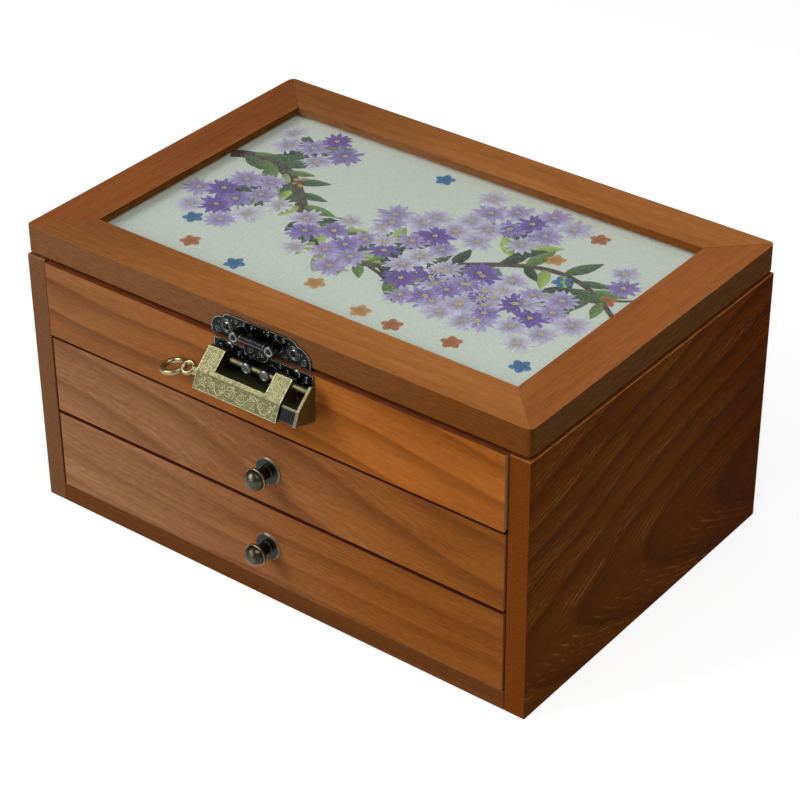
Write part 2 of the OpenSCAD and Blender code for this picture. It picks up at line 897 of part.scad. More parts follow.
// Drawer bottom, held in grooves on three sides and under the back board
module drawer_floor(box_z) {
    half_x = drawer_box_half - drawer_board_t + drawer_groove;
    board([-half_x, drawer_back_of_front_y - drawer_groove, box_z + drawer_bottom_lift],
        [half_x, drawer_end_y, box_z + drawer_bottom_lift + drawer_bottom_t]);
}

// Right-hand drawer side
module drawer_side(box_z, top) {
    difference() {
        board([drawer_box_half - drawer_board_t, drawer_back_of_front_y, box_z],
            [drawer_box_half, drawer_end_y, top]);
        drawer_floor(box_z);
    }
}

module drawer_back(box_z, top) {
    half_x = drawer_box_half - drawer_board_t;
    board([-half_x, drawer_end_y - drawer_board_t, box_z + drawer_bottom_lift + drawer_bottom_t],
        [half_x, drawer_end_y, top]);
}

module drawer_pad(box_z) {
    lining_pad(drawer_box_half - drawer_board_t - 0.4, drawer_back_of_front_y + 0.4,
        drawer_end_y - drawer_board_t - 0.4, box_z + drawer_bottom_lift + drawer_bottom_t);
}

// Thin base plate of a knob with a bevelled rim
module knob_plate() {
    r = knob_plate_d / 2;
    hole_r = knob_screw_d / 2 + fit;
    rotate_extrude()
        polygon([[hole_r, 0], [r, 0], [r, 0.6], [r - 0.6, knob_seat], [hole_r, knob_seat]]);
}
// Turned knob with a flared stem and a shallow domed head
module knob_turning() {
    r = knob_head_d / 2;
    stem_r = knob_stem_d / 2;
    foot_r = stem_r + knob_foot_flare;
    dome_z = knob_h - knob_dome_h;
    cap_r = r - 0.4;
    dome_r = (cap_r * cap_r + knob_dome_h * knob_dome_h) / (2 * knob_dome_h);
    difference() {
        rotate_extrude() {
            polygon([[0, knob_seat], [foot_r, knob_seat], [foot_r, knob_seat + 0.5],
                [stem_r, knob_seat + 1.2], [stem_r, dome_z - 2.8], [r - 1, dome_z - 1.9],
                [r, dome_z - 1.3], [r, dome_z - 0.3], [cap_r, dome_z], [0, dome_z]]);
            intersection() {
                translate([0, knob_h - dome_r])
                    circle(dome_r);
                translate([0, dome_z])
                    square([r, knob_dome_h]);
            }
        }
        cylinder(d = knob_screw_d + 2 * fit, h = knob_screw_bite + 1);
    }
}
// Screw from inside the drawer into the knob
module knob_screw(x, z) {
    tip_y = drawer_face_y - knob_screw_bite;
    bar_y(x, tip_y, drawer_back_of_front_y + 0.5, z, knob_screw_d);
    on_back(x, drawer_back_of_front_y, z) {
        cylinder(d = knob_screw_head_d, h = knob_screw_rim);
        translate([0, 0, knob_screw_rim])
            cylinder(d1 = knob_screw_head_d, d2 = knob_screw_top_d, h = knob_screw_dome);
    }
}

module upper_drawer_front() {
    color([0.55, 0.33, 0.17])
        drawer_front(upper_drawer_front_z, upper_drawer_front_top, upper_box_z, upper_knob_x, upper_knob_z);
}

module upper_drawer_left() {
    color([0.62, 0.45, 0.28])
        mirror([1, 0, 0])
            drawer_side(upper_box_z, upper_box_top);
}

module upper_drawer_right() {
    color([0.62, 0.45, 0.28])
        drawer_side(upper_box_z, upper_box_top);
}

module upper_drawer_back() {
    color([0.62, 0.45, 0.28])
        drawer_back(upper_box_z, upper_box_top);
}

module upper_drawer_bottom() {
    color([0.65, 0.48, 0.3])
        drawer_floor(upper_box_z);
}

module upper_drawer_lining() {
    color([0.42, 0.09, 0.12])
        drawer_pad(upper_box_z);
}

module upper_knob_plate() {
    color([0.3, 0.28, 0.25])
        on_front(upper_knob_x, drawer_face_y, upper_knob_z)
            knob_plate();
}

module upper_knob() {
    color([0.3, 0.28, 0.25])
        on_front(upper_knob_x, drawer_face_y, upper_knob_z)
            knob_turning();
}

module upper_knob_screw() {
    color([0.5, 0.5, 0.5])
        knob_screw(upper_knob_x, upper_knob_z);
}

module lower_drawer_front() {
    color([0.55, 0.33, 0.17])
        drawer_front(lower_front_z, lower_front_top, lower_box_z, lower_knob_x, lower_knob_z);
}

module lower_drawer_left() {
    color([0.62, 0.45, 0.28])
        mirror([1, 0, 0])
            drawer_side(lower_box_z, lower_box_top);
}

module lower_drawer_right() {
    color([0.62, 0.45, 0.28])
        drawer_side(lower_box_z, lower_box_top);
}

module lower_drawer_back() {
    color([0.62, 0.45, 0.28])
        drawer_back(lower_box_z, lower_box_top);
}

module lower_drawer_bottom() {
    color([0.65, 0.48, 0.3])
        drawer_floor(lower_box_z);
}

module lower_drawer_lining() {
    color([0.42, 0.09, 0.12])
        drawer_pad(lower_box_z);
}

module lower_knob_plate() {
    color([0.3, 0.28, 0.25])
        on_front(lower_knob_x, drawer_face_y, lower_knob_z)
            knob_plate();
}

module lower_knob() {
    color([0.3, 0.28, 0.25])
        on_front(lower_knob_x, drawer_face_y, lower_knob_z)
            knob_turning();
}

module lower_knob_screw() {
    color([0.5, 0.5, 0.5])
        knob_screw(lower_knob_x, lower_knob_z);
}

left_side();
right_side();
back_panel();
bottom_panel();
upper_front();
tray_floor();
drawer_divider();
tray_lining();
case_hinge_leaves();
hinge_pins();
case_hinge_screws();
lower_hasp_plate();
lower_hasp_nails();
lid_front_rail();
lid_back_rail();
lid_left_rail();
lid_right_rail();
lid_glass();
lid_silk();
lid_backing();
lid_base();
upper_hasp_plate();
upper_hasp_nails();
tongue_pin();
lid_hinge_leaves();
lid_hinge_screws();
hasp_tongue();
lock_body();
lock_shackle();
lock_springs();
lock_key();
upper_drawer_front();
upper_drawer_left();
upper_drawer_right();
upper_drawer_back();
upper_drawer_bottom();
upper_drawer_lining();
upper_knob_plate();
upper_knob();
upper_knob_screw();
lower_drawer_front();
lower_drawer_left();
lower_drawer_right();
lower_drawer_back();
lower_drawer_bottom();
lower_drawer_lining();
lower_knob_plate();
lower_knob();
lower_knob_screw();
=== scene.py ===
import math

import bpy
import numpy as np
from mathutils import Matrix, Vector


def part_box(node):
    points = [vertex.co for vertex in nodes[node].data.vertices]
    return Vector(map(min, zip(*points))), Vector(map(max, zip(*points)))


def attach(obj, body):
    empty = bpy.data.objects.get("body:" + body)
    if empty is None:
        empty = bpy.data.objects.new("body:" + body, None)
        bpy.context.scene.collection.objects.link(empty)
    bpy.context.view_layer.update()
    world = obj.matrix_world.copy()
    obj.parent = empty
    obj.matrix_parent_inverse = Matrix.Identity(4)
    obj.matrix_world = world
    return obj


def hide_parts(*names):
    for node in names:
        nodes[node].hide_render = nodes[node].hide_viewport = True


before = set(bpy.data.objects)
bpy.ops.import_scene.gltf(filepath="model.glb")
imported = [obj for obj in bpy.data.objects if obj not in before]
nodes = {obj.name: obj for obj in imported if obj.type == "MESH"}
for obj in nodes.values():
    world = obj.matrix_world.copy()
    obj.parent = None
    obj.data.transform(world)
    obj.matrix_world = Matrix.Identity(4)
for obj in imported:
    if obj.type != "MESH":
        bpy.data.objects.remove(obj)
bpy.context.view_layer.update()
scene = bpy.context.scene
mm = 0.001


# small helpers for node trees: a value is either another node's socket or a constant
def feed(tree, node, values):
    for key, value in values.items():
        if isinstance(value, bpy.types.NodeSocket):
            tree.links.new(value, node.inputs[key])
        else:
            node.inputs[key].default_value = value


def put(tree, kind, values=None, **settings):
    node = tree.nodes.new("ShaderNode" + kind)
    for name, value in settings.items():
        setattr(node, name, value)
    feed(tree, node, values or {})
    return node


def split(tree, vector):
    return put(tree, "SeparateXYZ", {0: vector}).outputs


def calc(tree, operation, *values):
    return put(tree, "Math", dict(enumerate(values)), operation=operation).outputs[0]


def times(tree, first, second):
    return calc(tree, "MULTIPLY", first, second)


def ramp(tree, value, low, high, toLow=0.0, toHigh=1.0):
    # smooth step of value between low and high
    spots = {"Value": value, "From Min": low, "From Max": high, "To Min": toLow, "To Max": toHigh}
    return put(tree, "MapRange", spots, interpolation_type="SMOOTHSTEP").outputs["Result"]


def blendColour(tree, factor, first, second, how="MIX"):
    node = put(tree, "Mix", {0: factor, 6: first, 7: second}, data_type="RGBA", blend_type=how)
    return node.outputs[2]


def stretched(tree, vector, scales):
    return put(tree, "VectorMath", {0: vector, 1: scales}, operation="MULTIPLY").outputs[0]


def cloudy(tree, vector, scales, detail=2.0, rough=0.5):
    spots = {"Vector": stretched(tree, vector, scales), "Scale": 1.0, "Detail": detail, "Roughness": rough}
    return put(tree, "TexNoise", spots).outputs["Fac"]


def newGroup(name, inputs, outputs):
    group = bpy.data.node_groups.new(name, "ShaderNodeTree")
    for label, kind, value in inputs:
        socket = group.interface.new_socket(name=label, in_out="INPUT", socket_type="NodeSocket" + kind)
        if value is not None:
            socket.default_value = value
    for label, kind in outputs:
        group.interface.new_socket(name=label, in_out="OUTPUT", socket_type="NodeSocket" + kind)
    return group, group.nodes.new("NodeGroupInput").outputs, group.nodes.new("NodeGroupOutput").inputs


def giveOut(group, made, colour, rough, height):
    for name, value in (("Color", colour), ("Roughness", rough), ("Height", height)):
        group.links.new(value, made[name])


def useGroup(tree, group, values):
    node = tree.nodes.new("ShaderNodeGroup")
    node.node_tree = group
    feed(tree, node, values)
    return node.outputs


def rgb(red, green, blue):
    # a colour as the eye reads it, 0 to 255, turned into linear light
    value = np.array([red, green, blue]) / 255
    linear = np.where(value < 0.04045, value / 12.92, ((value + 0.055) / 1.055) ** 2.4)
    return (*[float(v) for v in linear], 1.0)


def newMaterial(name):
    material = bpy.data.materials.new(name)
    material.use_nodes = True
    tree = material.node_tree
    return material, tree, tree.nodes["Principled BSDF"], put(tree, "TexCoord").outputs


def addObject(name, data):
    added = bpy.data.objects.new(name, data)
    scene.collection.objects.link(added)
    return added


def connect(tree, shader, colour, rough, height, bump, fixed):
    # colour, roughness and bump into the shader, and its fixed values; bump is strength and depth in mm
    strength, depth = bump
    raised = put(tree, "Bump", {"Height": height, "Strength": strength, "Distance": depth * mm})
    moving = {"Base Color": colour, "Roughness": rough, "Normal": raised.outputs[0]}
    feed(tree, shader, {**moving, **fixed})


def groupValues(look):
    # names with a capital are inputs of a node group
    return {key: value for key, value in look.items() if key[0].isupper()}


def facing(tree, coords, axis):
    # how squarely a face looks along an axis, 0 to 1
    return calc(tree, "ABSOLUTE", split(tree, coords["Normal"])[axis])


def fade(tree, vector, axis, start, end, amount=1.0):
    # rises from 0 at start to amount at end, places in mm along an axis
    return ramp(tree, split(tree, vector)[axis], start * mm, end * mm, 0.0, amount)


def reorder(tree, vector, order):
    # swaps the axes, so that x runs along the grain and z into the board
    parts = split(tree, vector)
    picked = {i: parts["xyz".index(axis)] for i, axis in enumerate(order)}
    return put(tree, "CombineXYZ", picked).outputs[0]


# worn edges, brightened in part as a painted highlight: how far the rounded normal turns away from the flat
# one
def makeEdgeGroup():
    group, given, made = newGroup(
        "edgeWearHighlight", [("Radius", "Float", 0.001), ("Vector", "Vector", None)], [("Mask", "Float")],
    )
    rounded = put(group, "Bevel", {"Radius": given["Radius"]}, samples=6).outputs[0]
    flat = put(group, "NewGeometry").outputs["Normal"]
    along = put(group, "VectorMath", {0: rounded, 1: flat}, operation="DOT_PRODUCT").outputs["Value"]
    edge = ramp(group, along, 0.995, 0.80)
    patchy = ramp(group, cloudy(group, given["Vector"], (260, 260, 260), 3), 0.3, 0.62, 0.4, 1.0)
    group.links.new(times(group, edge, patchy), made["Mask"])
    return group


# wood figure: growth rings are cones, so a flat cut meets them at
# sqrt(across^2 + depth^2) + taper * along
def makeWoodGroup():
    colours = [(n, "Color", (0.3, 0.1, 0.03, 1)) for n in ("Light", "Dark", "Streak", "Pore")]
    values = [
        ("Spacing", 9.0), ("Taper", 0.1), ("Centre", 0.0), ("Depth", 14.0), ("Warp", 5.0), ("Streaks", 0.3),
        ("Pores", 0.5),
    ]
    group, given, made = newGroup(
        "woodFigure", [("Vector", "Vector", None)] + colours + [(n, "Float", v) for n, v in values],
        [("Color", "Color"), ("Roughness", "Float"), ("Height", "Float")],
    )
    place = put(group, "VectorMath", {0: given["Vector"], "Scale": 1000.0}, operation="SCALE").outputs[0]
    x, y, z = split(group, place)
    drift = calc(group, "SUBTRACT", cloudy(group, place, (0.006, 0.012, 0.012), 1.5), 0.5)
    drift = times(group, drift, times(group, given["Warp"], 4.0))
    across = calc(group, "ADD", calc(group, "SUBTRACT", y, given["Centre"]), drift)
    depth = given["Depth"]
    squares = calc(group, "ADD", times(group, across, across), times(group, depth, depth))
    ring = calc(group, "MULTIPLY_ADD", x, given["Taper"], calc(group, "SQRT", squares))
    ring = calc(group, "ADD", ring, times(group, drift, 0.5))
    turn = calc(group, "FRACT", calc(group, "DIVIDE", ring, given["Spacing"]))
    late = times(group, ramp(group, turn, 0.45, 0.95), ramp(group, turn, 1.0, 0.93))
    broad = ramp(group, cloudy(group, place, (0.008, 0.045, 0.045), 3), 0.32, 0.68)
    # fibres run along the board, bent by the drift
    flow = put(group, "CombineXYZ", {0: x, 1: across, 2: z}).outputs[0]
    fibre = ramp(group, cloudy(group, flow, (0.035, 1.5, 1.5), 3), 0.3, 0.7)
    patch = ramp(group, cloudy(group, place, (0.014, 0.06, 0.06), 2), 0.36, 0.6)
    # pores: fine lines along the rings, seven to a ring, broken up, fading where a ring turns back
    wander = cloudy(group, flow, (0.012, 0.15, 0.15), 2)
    lines = calc(group, "DIVIDE", ring, calc(group, "DIVIDE", given["Spacing"], 7.0))
    fine = calc(group, "FRACT", calc(group, "MULTIPLY_ADD", wander, 1.2, lines))
    line = times(group, ramp(group, fine, 0.0, 0.1), ramp(group, fine, 0.38, 0.14))
    broken = ramp(group, cloudy(group, flow, (0.035, 0.45, 0.45), 2), 0.38, 0.6)
    slope = calc(group, "DIVIDE", calc(group, "ABSOLUTE", across), calc(group, "ADD", depth, 1.0))
    steep = ramp(group, slope, 0.1, 0.45)
    line = times(group, times(group, line, broken), steep)
    early = ramp(group, turn, 0.6, 0.1)
    short = ramp(group, cloudy(group, flow, (0.12, 2.2, 2.2), 1), 0.56, 0.68)
    dash = calc(group, "MAXIMUM", line, times(group, short, 0.45))
    often = calc(group, "MULTIPLY_ADD", patch, 0.7, 0.3)
    zone = times(group, often, calc(group, "MULTIPLY_ADD", early, 0.6, 0.4))
    pore = times(group, dash, zone)
    fleck = ramp(group, cloudy(group, place, (0.22, 0.5, 0.5), 3, 0.6), 0.32, 0.68)
    body = calc(group, "MULTIPLY_ADD", fibre, 0.3, times(group, fleck, 0.25))
    body = calc(group, "MULTIPLY_ADD", broad, 0.45, body)
    colour = blendColour(group, body, given["Dark"], given["Light"])
    colour = blendColour(group, times(group, late, given["Streaks"]), colour, given["Streak"])
    colour = blendColour(group, times(group, pore, given["Pores"]), colour, given["Pore"])
    rough = calc(group, "MULTIPLY_ADD", pore, 0.16, calc(group, "MULTIPLY_ADD", broad, 0.1, 0.42))
    height = calc(group, "SUBTRACT", times(group, fibre, 0.35), times(group, pore, 0.65))
    giveOut(group, made, colour, rough, height)
    return group


# aged metal: tarnish clouds over a base colour, bright where edges rub, partly as a painted highlight
def makeMetalGroup(edgeGroup):
    inputs = [
        ("Vector", "Vector", None), ("Base", "Color", (0.5, 0.4, 0.2, 1)),
        ("Tarnish", "Color", (0.1, 0.1, 0.05, 1)), ("Bright", "Color", (0.9, 0.85, 0.7, 1)),
        ("Grain", "Float", 1.0), ("Aged", "Float", 0.5), ("Edge", "Float", 0.0006), ("Rough", "Float", 0.3),
        ("Rubbed", "Float", 0.6), ("Scuffed", "Float", 0.0),
    ]
    group, given, made = newGroup(
        "agedMetal", inputs, [("Color", "Color"), ("Roughness", "Float"), ("Height", "Float")],
    )
    place = put(
        group, "VectorMath", {0: given["Vector"], "Scale": given["Grain"]}, operation="SCALE",
    ).outputs[0]
    cloud = cloudy(group, place, (240, 240, 240), 4, 0.6)
    speck = cloudy(group, place, (1500, 1500, 1500), 2)
    aged = times(group, ramp(group, cloud, 0.36, 0.66), given["Aged"])
    # rubbed edges, brightened partly as a painted highlight
    edge = useGroup(group, edgeGroup, {"Radius": given["Edge"], "Vector": place})["Mask"]
    edge = times(group, edge, given["Rubbed"])
    colour = blendColour(group, aged, given["Base"], given["Tarnish"])
    scuff = ramp(group, cloudy(group, place, (1100, 700, 1100), 3, 0.7), 0.57, 0.7)
    bareAndHighlight = calc(group, "MAXIMUM", edge, times(group, scuff, given["Scuffed"]))
    colour = blendColour(group, bareAndHighlight, colour, given["Bright"])
    rough = calc(group, "MULTIPLY_ADD", speck, 0.12, given["Rough"])
    rough = calc(group, "MULTIPLY_ADD", aged, 0.18, rough)
    height = calc(group, "MULTIPLY_ADD", cloud, 0.5, times(group, speck, 0.5))
    giveOut(group, made, colour, rough, height)
    return group


edgeGroup = makeEdgeGroup()
woodGroup = makeWoodGroup()
metalGroup = makeMetalGroup(edgeGroup)
print("shared node groups ready")

# looks of the boards: grain order, tones and figure; of the names without a capital, "narrow" turns to its
# two tones where the normal leaves an axis, "warmer" is a gain on those two along the grain, "ends" is the
# tone of the end faces and "paler" fades towards a tone along the grain; places in mm; on the fronts
# "narrow" is painted shade, "ends" a painted highlight and "paler" a painted sheen
woodDefaults = {"gloss": 0.02, "bump": (0.4, 0.3), "worn": 0.5, "wornTone": rgb(214, 150, 96)}
# on the fronts, "paler" is a painted sheen that greys them towards the left
frontWood = {
    "order": "xzy", "Light": rgb(162, 96, 42), "Dark": rgb(134, 74, 28), "Streak": rgb(98, 50, 16),
    "Pore": rgb(192, 124, 56), "paler": (90, -150, 0.45, rgb(152, 112, 82)),
}
# painted shade in the seams on top and bottom faces ("narrow"), a painted highlight on the end faces
# ("ends")
drawerWood = dict(
    frontWood, Light=rgb(163, 96, 40), Dark=rgb(126, 68, 22), worn=0.1, ends=rgb(160, 108, 68),
    narrow=(2, 0.6, 0.25, rgb(94, 45, 23), rgb(72, 33, 16)),
)
insideWood = {
    "Light": rgb(176, 132, 88), "Dark": rgb(150, 106, 66), "Streak": rgb(128, 86, 50),
    "Pore": rgb(196, 156, 112), "Spacing": 10.0, "Taper": 0.04, "Depth": 18.0, "Warp": 4.0, "Streaks": 0.3,
    "Pores": 0.3,
}
railWood = {
    "gloss": 0.012, "Spacing": 8.0, "Taper": 0.03, "Depth": 10.0, "Warp": 5.0, "Streaks": 0.2,
    "Pores": 0.95,
}
railShort = dict(
    railWood, order="yxz", Centre=190.0, narrow=(2, 0.55, 0.8, rgb(112, 68, 24), rgb(88, 52, 16)),
)
woodLooks = {
    # painted shade on the top face under the lid and the bottom face ("narrow"), a painted highlight on the
    # ends
    "fixedFront": dict(
        frontWood, narrow=(2, 0.95, 0.75, rgb(120, 62, 34), rgb(92, 44, 22)), ends=rgb(186, 138, 98),
        Light=rgb(192, 112, 44), Dark=rgb(154, 84, 27), paler=(90, -150, 0.63, rgb(132, 95, 66)),
        Spacing=17.0, Taper=0.06, Centre=60.0, Depth=9.0, Warp=4.0, Streaks=0.46, Pores=0.45,
    ),
    "upperDrawer": dict(
        drawerWood, paler=(130, -150, 0.55, rgb(168, 127, 93)), Spacing=21.0, Taper=0.17, Centre=44.0,
        Depth=26.0, Warp=5.0, Streaks=0.46, Pores=0.36,
    ),
    "lowerDrawer": dict(
        drawerWood, paler=(90, -150, 0.5, rgb(183, 142, 106)), Spacing=16.0, Taper=0.04, Centre=-30.0,
        Depth=12.0, Warp=4.0, Streaks=0.32, Pores=0.36,
    ),
    "base": {
        "order": "xzy", "Light": rgb(124, 72, 32), "Dark": rgb(104, 58, 22), "Streak": rgb(80, 42, 14),
        "Pore": rgb(150, 96, 52), "Spacing": 12.0, "Taper": 0.03, "Centre": 20.0, "Depth": 12.0,
        "Warp": 4.0, "Streaks": 0.3, "Pores": 0.3, "paler": (40, -150, 0.75, rgb(108, 64, 34)),
    },
    "backBoard": {
        "order": "xzy", "Light": rgb(132, 74, 28), "Dark": rgb(108, 58, 18), "Streak": rgb(80, 40, 10),
        "Pore": rgb(170, 112, 60), "Spacing": 17.0, "Taper": 0.12, "Centre": 66.0, "Depth": 18.0,
        "Warp": 7.0, "Streaks": 0.4, "Pores": 0.5,
    },
    # tones darker than the left side's: painted shade; it also darkens towards the back
    "sideRightShaded": {
        "order": "yzx", "Light": rgb(116, 62, 17), "Dark": rgb(92, 47, 9), "Streak": rgb(66, 31, 6),
        "Pore": rgb(176, 114, 56), "Spacing": 15.0, "Taper": -0.24, "Centre": 34.0, "Depth": 30.0,
        "Warp": 6.0, "Streaks": 0.5, "Pores": 0.8, "gloss": 0.004, "paler": (0, 100, 0.9, rgb(91, 39, 5)),
        "narrow": (0, 0.55, 0.8, rgb(136, 72, 24), rgb(112, 56, 14)),
    },
    "sideLeft": {
        "order": "yzx", "Light": rgb(136, 78, 32), "Dark": rgb(112, 62, 22), "Streak": rgb(84, 44, 14),
        "Pore": rgb(182, 122, 66), "Spacing": 16.0, "Taper": -0.24, "Centre": 88.0, "Depth": 30.0,
        "Warp": 6.0, "Streaks": 0.4, "Pores": 0.5, "gloss": 0.004,
        "narrow": (0, 0.55, 0.8, rgb(134, 92, 64), rgb(112, 74, 48)),
    },
    "railLong": dict(
        railWood, order="xyz", Light=rgb(176, 114, 62), Dark=rgb(150, 92, 46), Streak=rgb(122, 70, 32),
        Pore=rgb(112, 62, 26), Centre=140.0, paler=(0, -130, 0.75, rgb(128, 78, 40)),
        narrow=(2, 0.55, 0.8, rgb(137, 92, 57), rgb(119, 78, 46)),
        warmer=(-60, 140, (0.87, 0.63, 0.27, 1.0)),
    ),
    "railLeft": dict(
        railShort, Light=rgb(150, 88, 46), Dark=rgb(124, 70, 34), Streak=rgb(98, 52, 22),
        Pore=rgb(92, 48, 20),
    ),
    "railRight": dict(
        railShort, Light=rgb(165, 99, 53), Dark=rgb(138, 80, 40), Streak=rgb(108, 59, 26),
        Pore=rgb(100, 54, 24),
    ),
    "insideUpright": dict(insideWood, order="xzy", Centre=0.0),
    "insideFlat": dict(insideWood, order="xyz", Centre=-20.0),
}


# eased edges, lit by a painted highlight with some wear: where the normal lies along no axis, leaving out
# the slant of a mitre, where x and y turn together
def edgeLine(tree, normal, vector):
    x, y, z = (calc(tree, "ABSOLUTE", part) for part in split(tree, normal))
    most = calc(tree, "MAXIMUM", calc(tree, "MAXIMUM", x, y), z)
    square = ramp(tree, calc(tree, "MINIMUM", x, y), 0.3, 0.1)
    patchy = ramp(tree, cloudy(tree, vector, (120, 120, 120), 3), 0.25, 0.6, 0.3, 1.0)
    return times(tree, times(tree, ramp(tree, most, 0.985, 0.86), square), patchy)


def makeWood(name, look):
    look = {**woodDefaults, **look}
    material, tree, shader, coords = newMaterial(name)
    vector = reorder(tree, coords["Object"], look["order"])
    out = useGroup(tree, woodGroup, {"Vector": vector, **groupValues(look)})
    colour = out["Color"]
    # a fade along the grain; on the fronts a painted sheen
    if "paler" in look:
        *span, tone = look["paler"]
        # a gain, so that the figure stays
        gain = (*[2 * t / (l + d) for t, l, d in zip(tone[:3], look["Light"], look["Dark"])], 1.0)
        colour = blendColour(tree, fade(tree, vector, 0, *span), colour, gain, "MULTIPLY")
    # the two "narrow" tones; on the fronts they are painted shade
    if "narrow" in look:
        axis, low, high, first, second = look["narrow"]
        broad = ramp(tree, facing(tree, coords, axis), low, high)
        fine = ramp(tree, cloudy(tree, vector, (140, 1700, 1700), 3), 0.3, 0.7)
        edgeTone = blendColour(tree, fine, second, first)
        if "warmer" in look:
            *span, gain = look["warmer"]
            edgeTone = blendColour(tree, fade(tree, vector, 0, *span), edgeTone, gain, "MULTIPLY")
        colour = blendColour(tree, broad, edgeTone, colour)
    # the tone of the end faces; on the fronts a painted highlight
    if "ends" in look:
        colour = blendColour(tree, ramp(tree, facing(tree, coords, 0), 0.6, 0.9), colour, look["ends"])
    # a painted highlight along the eased edges, with some wear
    worn = edgeLine(tree, coords["Normal"], coords["Object"])
    colour = blendColour(tree, times(tree, worn, look["worn"]), colour, look["wornTone"])
    fixed = {"Specular IOR Level": look["gloss"]}
    connect(tree, shader, colour, out["Roughness"], out["Height"], look["bump"], fixed)
    return material


# "depth" fades towards a tone from front to back, in mm, as painted shade on the knob stem, and "rim" is
# a painted highlight on faces turned away from the front
metalDefaults = {"metallic": 1.0, "bump": 0.1, "bumpDepth": 0.2}
metalLooks = {
    "lockBrass": {
        "Base": rgb(122, 118, 84), "Tarnish": rgb(84, 80, 54), "Bright": rgb(228, 224, 186), "Grain": 3.5,
        "Aged": 0.6, "Edge": 0.0009, "Rough": 0.34, "Rubbed": 1.0, "bump": 0.4,
    },
    # a lighter copy of the lock's brass: a painted highlight on the raised scrolls
    "scrollBrassHighlight": {
        "Base": rgb(182, 177, 136), "Tarnish": rgb(142, 137, 98), "Bright": rgb(236, 230, 190),
        "Grain": 2.2, "Aged": 0.5, "Edge": 0.0003, "Rough": 0.32, "Rubbed": 0.4,
    },
    "haspBlack": {
        "Base": rgb(26, 27, 26), "Tarnish": rgb(11, 12, 11), "Bright": rgb(200, 204, 200), "Grain": 1.0,
        "Aged": 0.8, "Edge": 0.0009, "Rough": 0.2, "Rubbed": 1.0, "Scuffed": 0.1, "metallic": 0.9,
        "bump": 0.4, "depth": (-108.8, -109.0, 0.55, rgb(150, 154, 156)),
    },
    # a lighter copy of the hasp's black: a painted highlight on the raised relief
    "haspReliefHighlight": {
        "Base": rgb(92, 95, 92), "Tarnish": rgb(48, 50, 48), "Bright": rgb(214, 218, 214), "Grain": 1.0,
        "Aged": 0.6, "Edge": 0.0005, "Rough": 0.22, "Rubbed": 0.8, "metallic": 0.9,
    },
    # the stem between head and plate is darkened by "depth": painted shade and a painted dark reflection
    "knobBronze": {
        "Base": rgb(92, 88, 72), "Tarnish": rgb(40, 37, 29), "Bright": rgb(226, 216, 190), "Grain": 0.8,
        "Aged": 0.8, "Edge": 0.0008, "Rough": 0.2, "Rubbed": 0.7, "bump": 0.12,
        "depth": (-109.8, -109.0, 0.75, rgb(40, 41, 38)),
    },
    # its "rim" tone is a painted highlight on the plate's edge
    "knobPlate": {
        "Base": rgb(40, 39, 33), "Tarnish": rgb(22, 21, 18), "Bright": rgb(250, 238, 208), "Grain": 0.8,
        "Aged": 0.7, "Edge": 0.0003, "Rough": 0.22, "Rubbed": 0.6, "metallic": 0.6, "bump": 0.12,
        "rim": rgb(236, 218, 178),
    },
    "keyBrass": {
        "Base": rgb(168, 156, 116), "Tarnish": rgb(108, 97, 66), "Bright": rgb(244, 230, 184), "Grain": 1.4,
        "Aged": 0.6, "Edge": 0.0006, "Rough": 0.2, "Rubbed": 0.6,
    },
    "springSteel": {
        "Base": rgb(46, 47, 49), "Tarnish": rgb(24, 24, 25), "Bright": rgb(160, 168, 176), "Grain": 1.0,
        "Aged": 0.5, "Edge": 0.0005, "Rough": 0.25, "Rubbed": 0.5,
    },
    "hingeBrass": {
        "Base": rgb(176, 146, 84), "Tarnish": rgb(104, 82, 42), "Bright": rgb(232, 212, 150), "Grain": 0.7,
        "Aged": 0.6, "Edge": 0.0008, "Rough": 0.26, "Rubbed": 0.6, "bump": 0.12,
    },
    "screwSteel": {
        "Base": rgb(168, 166, 160), "Tarnish": rgb(108, 104, 96), "Bright": rgb(226, 226, 222),
        "Grain": 0.9, "Aged": 0.5, "Edge": 0.0005, "Rough": 0.24, "Rubbed": 0.5,
    },
}


def makeMetal(name, look):
    look = {**metalDefaults, **look}
    material, tree, shader, coords = newMaterial(name)
    out = useGroup(tree, metalGroup, {"Vector": coords["Object"], **groupValues(look)})
    colour = out["Color"]
    # a tone along y; on the knob stem painted shade
    if "depth" in look:
        *span, tone = look["depth"]
        colour = blendColour(tree, fade(tree, coords["Object"], 1, *span), colour, tone)
    # a painted highlight on faces turned away from the front
    if "rim" in look:
        turned = ramp(tree, facing(tree, coords, 1), 0.85, 0.6, 0.0, 0.55)
        colour = blendColour(tree, turned, colour, look["rim"])
    bump, fixed = (look["bump"], look["bumpDepth"]), {"Metallic": look["metallic"]}
    connect(tree, shader, colour, out["Roughness"], out["Height"], bump, fixed)
    return material


woods = {name: makeWood(name, look) for name, look in woodLooks.items()}
metals = {name: makeMetal(name, look) for name, look in metalLooks.items()}
print("wood and metal finishes:", len(woods) + len(metals))


# clear glass: shadow and diffuse rays pass straight through, so the silk below stays lit
glassLook = {
    "tint": (0.96, 0.985, 0.97, 1), "through": (0.97, 0.985, 0.975, 1), "index": 1.45, "smear": 0.012,
}


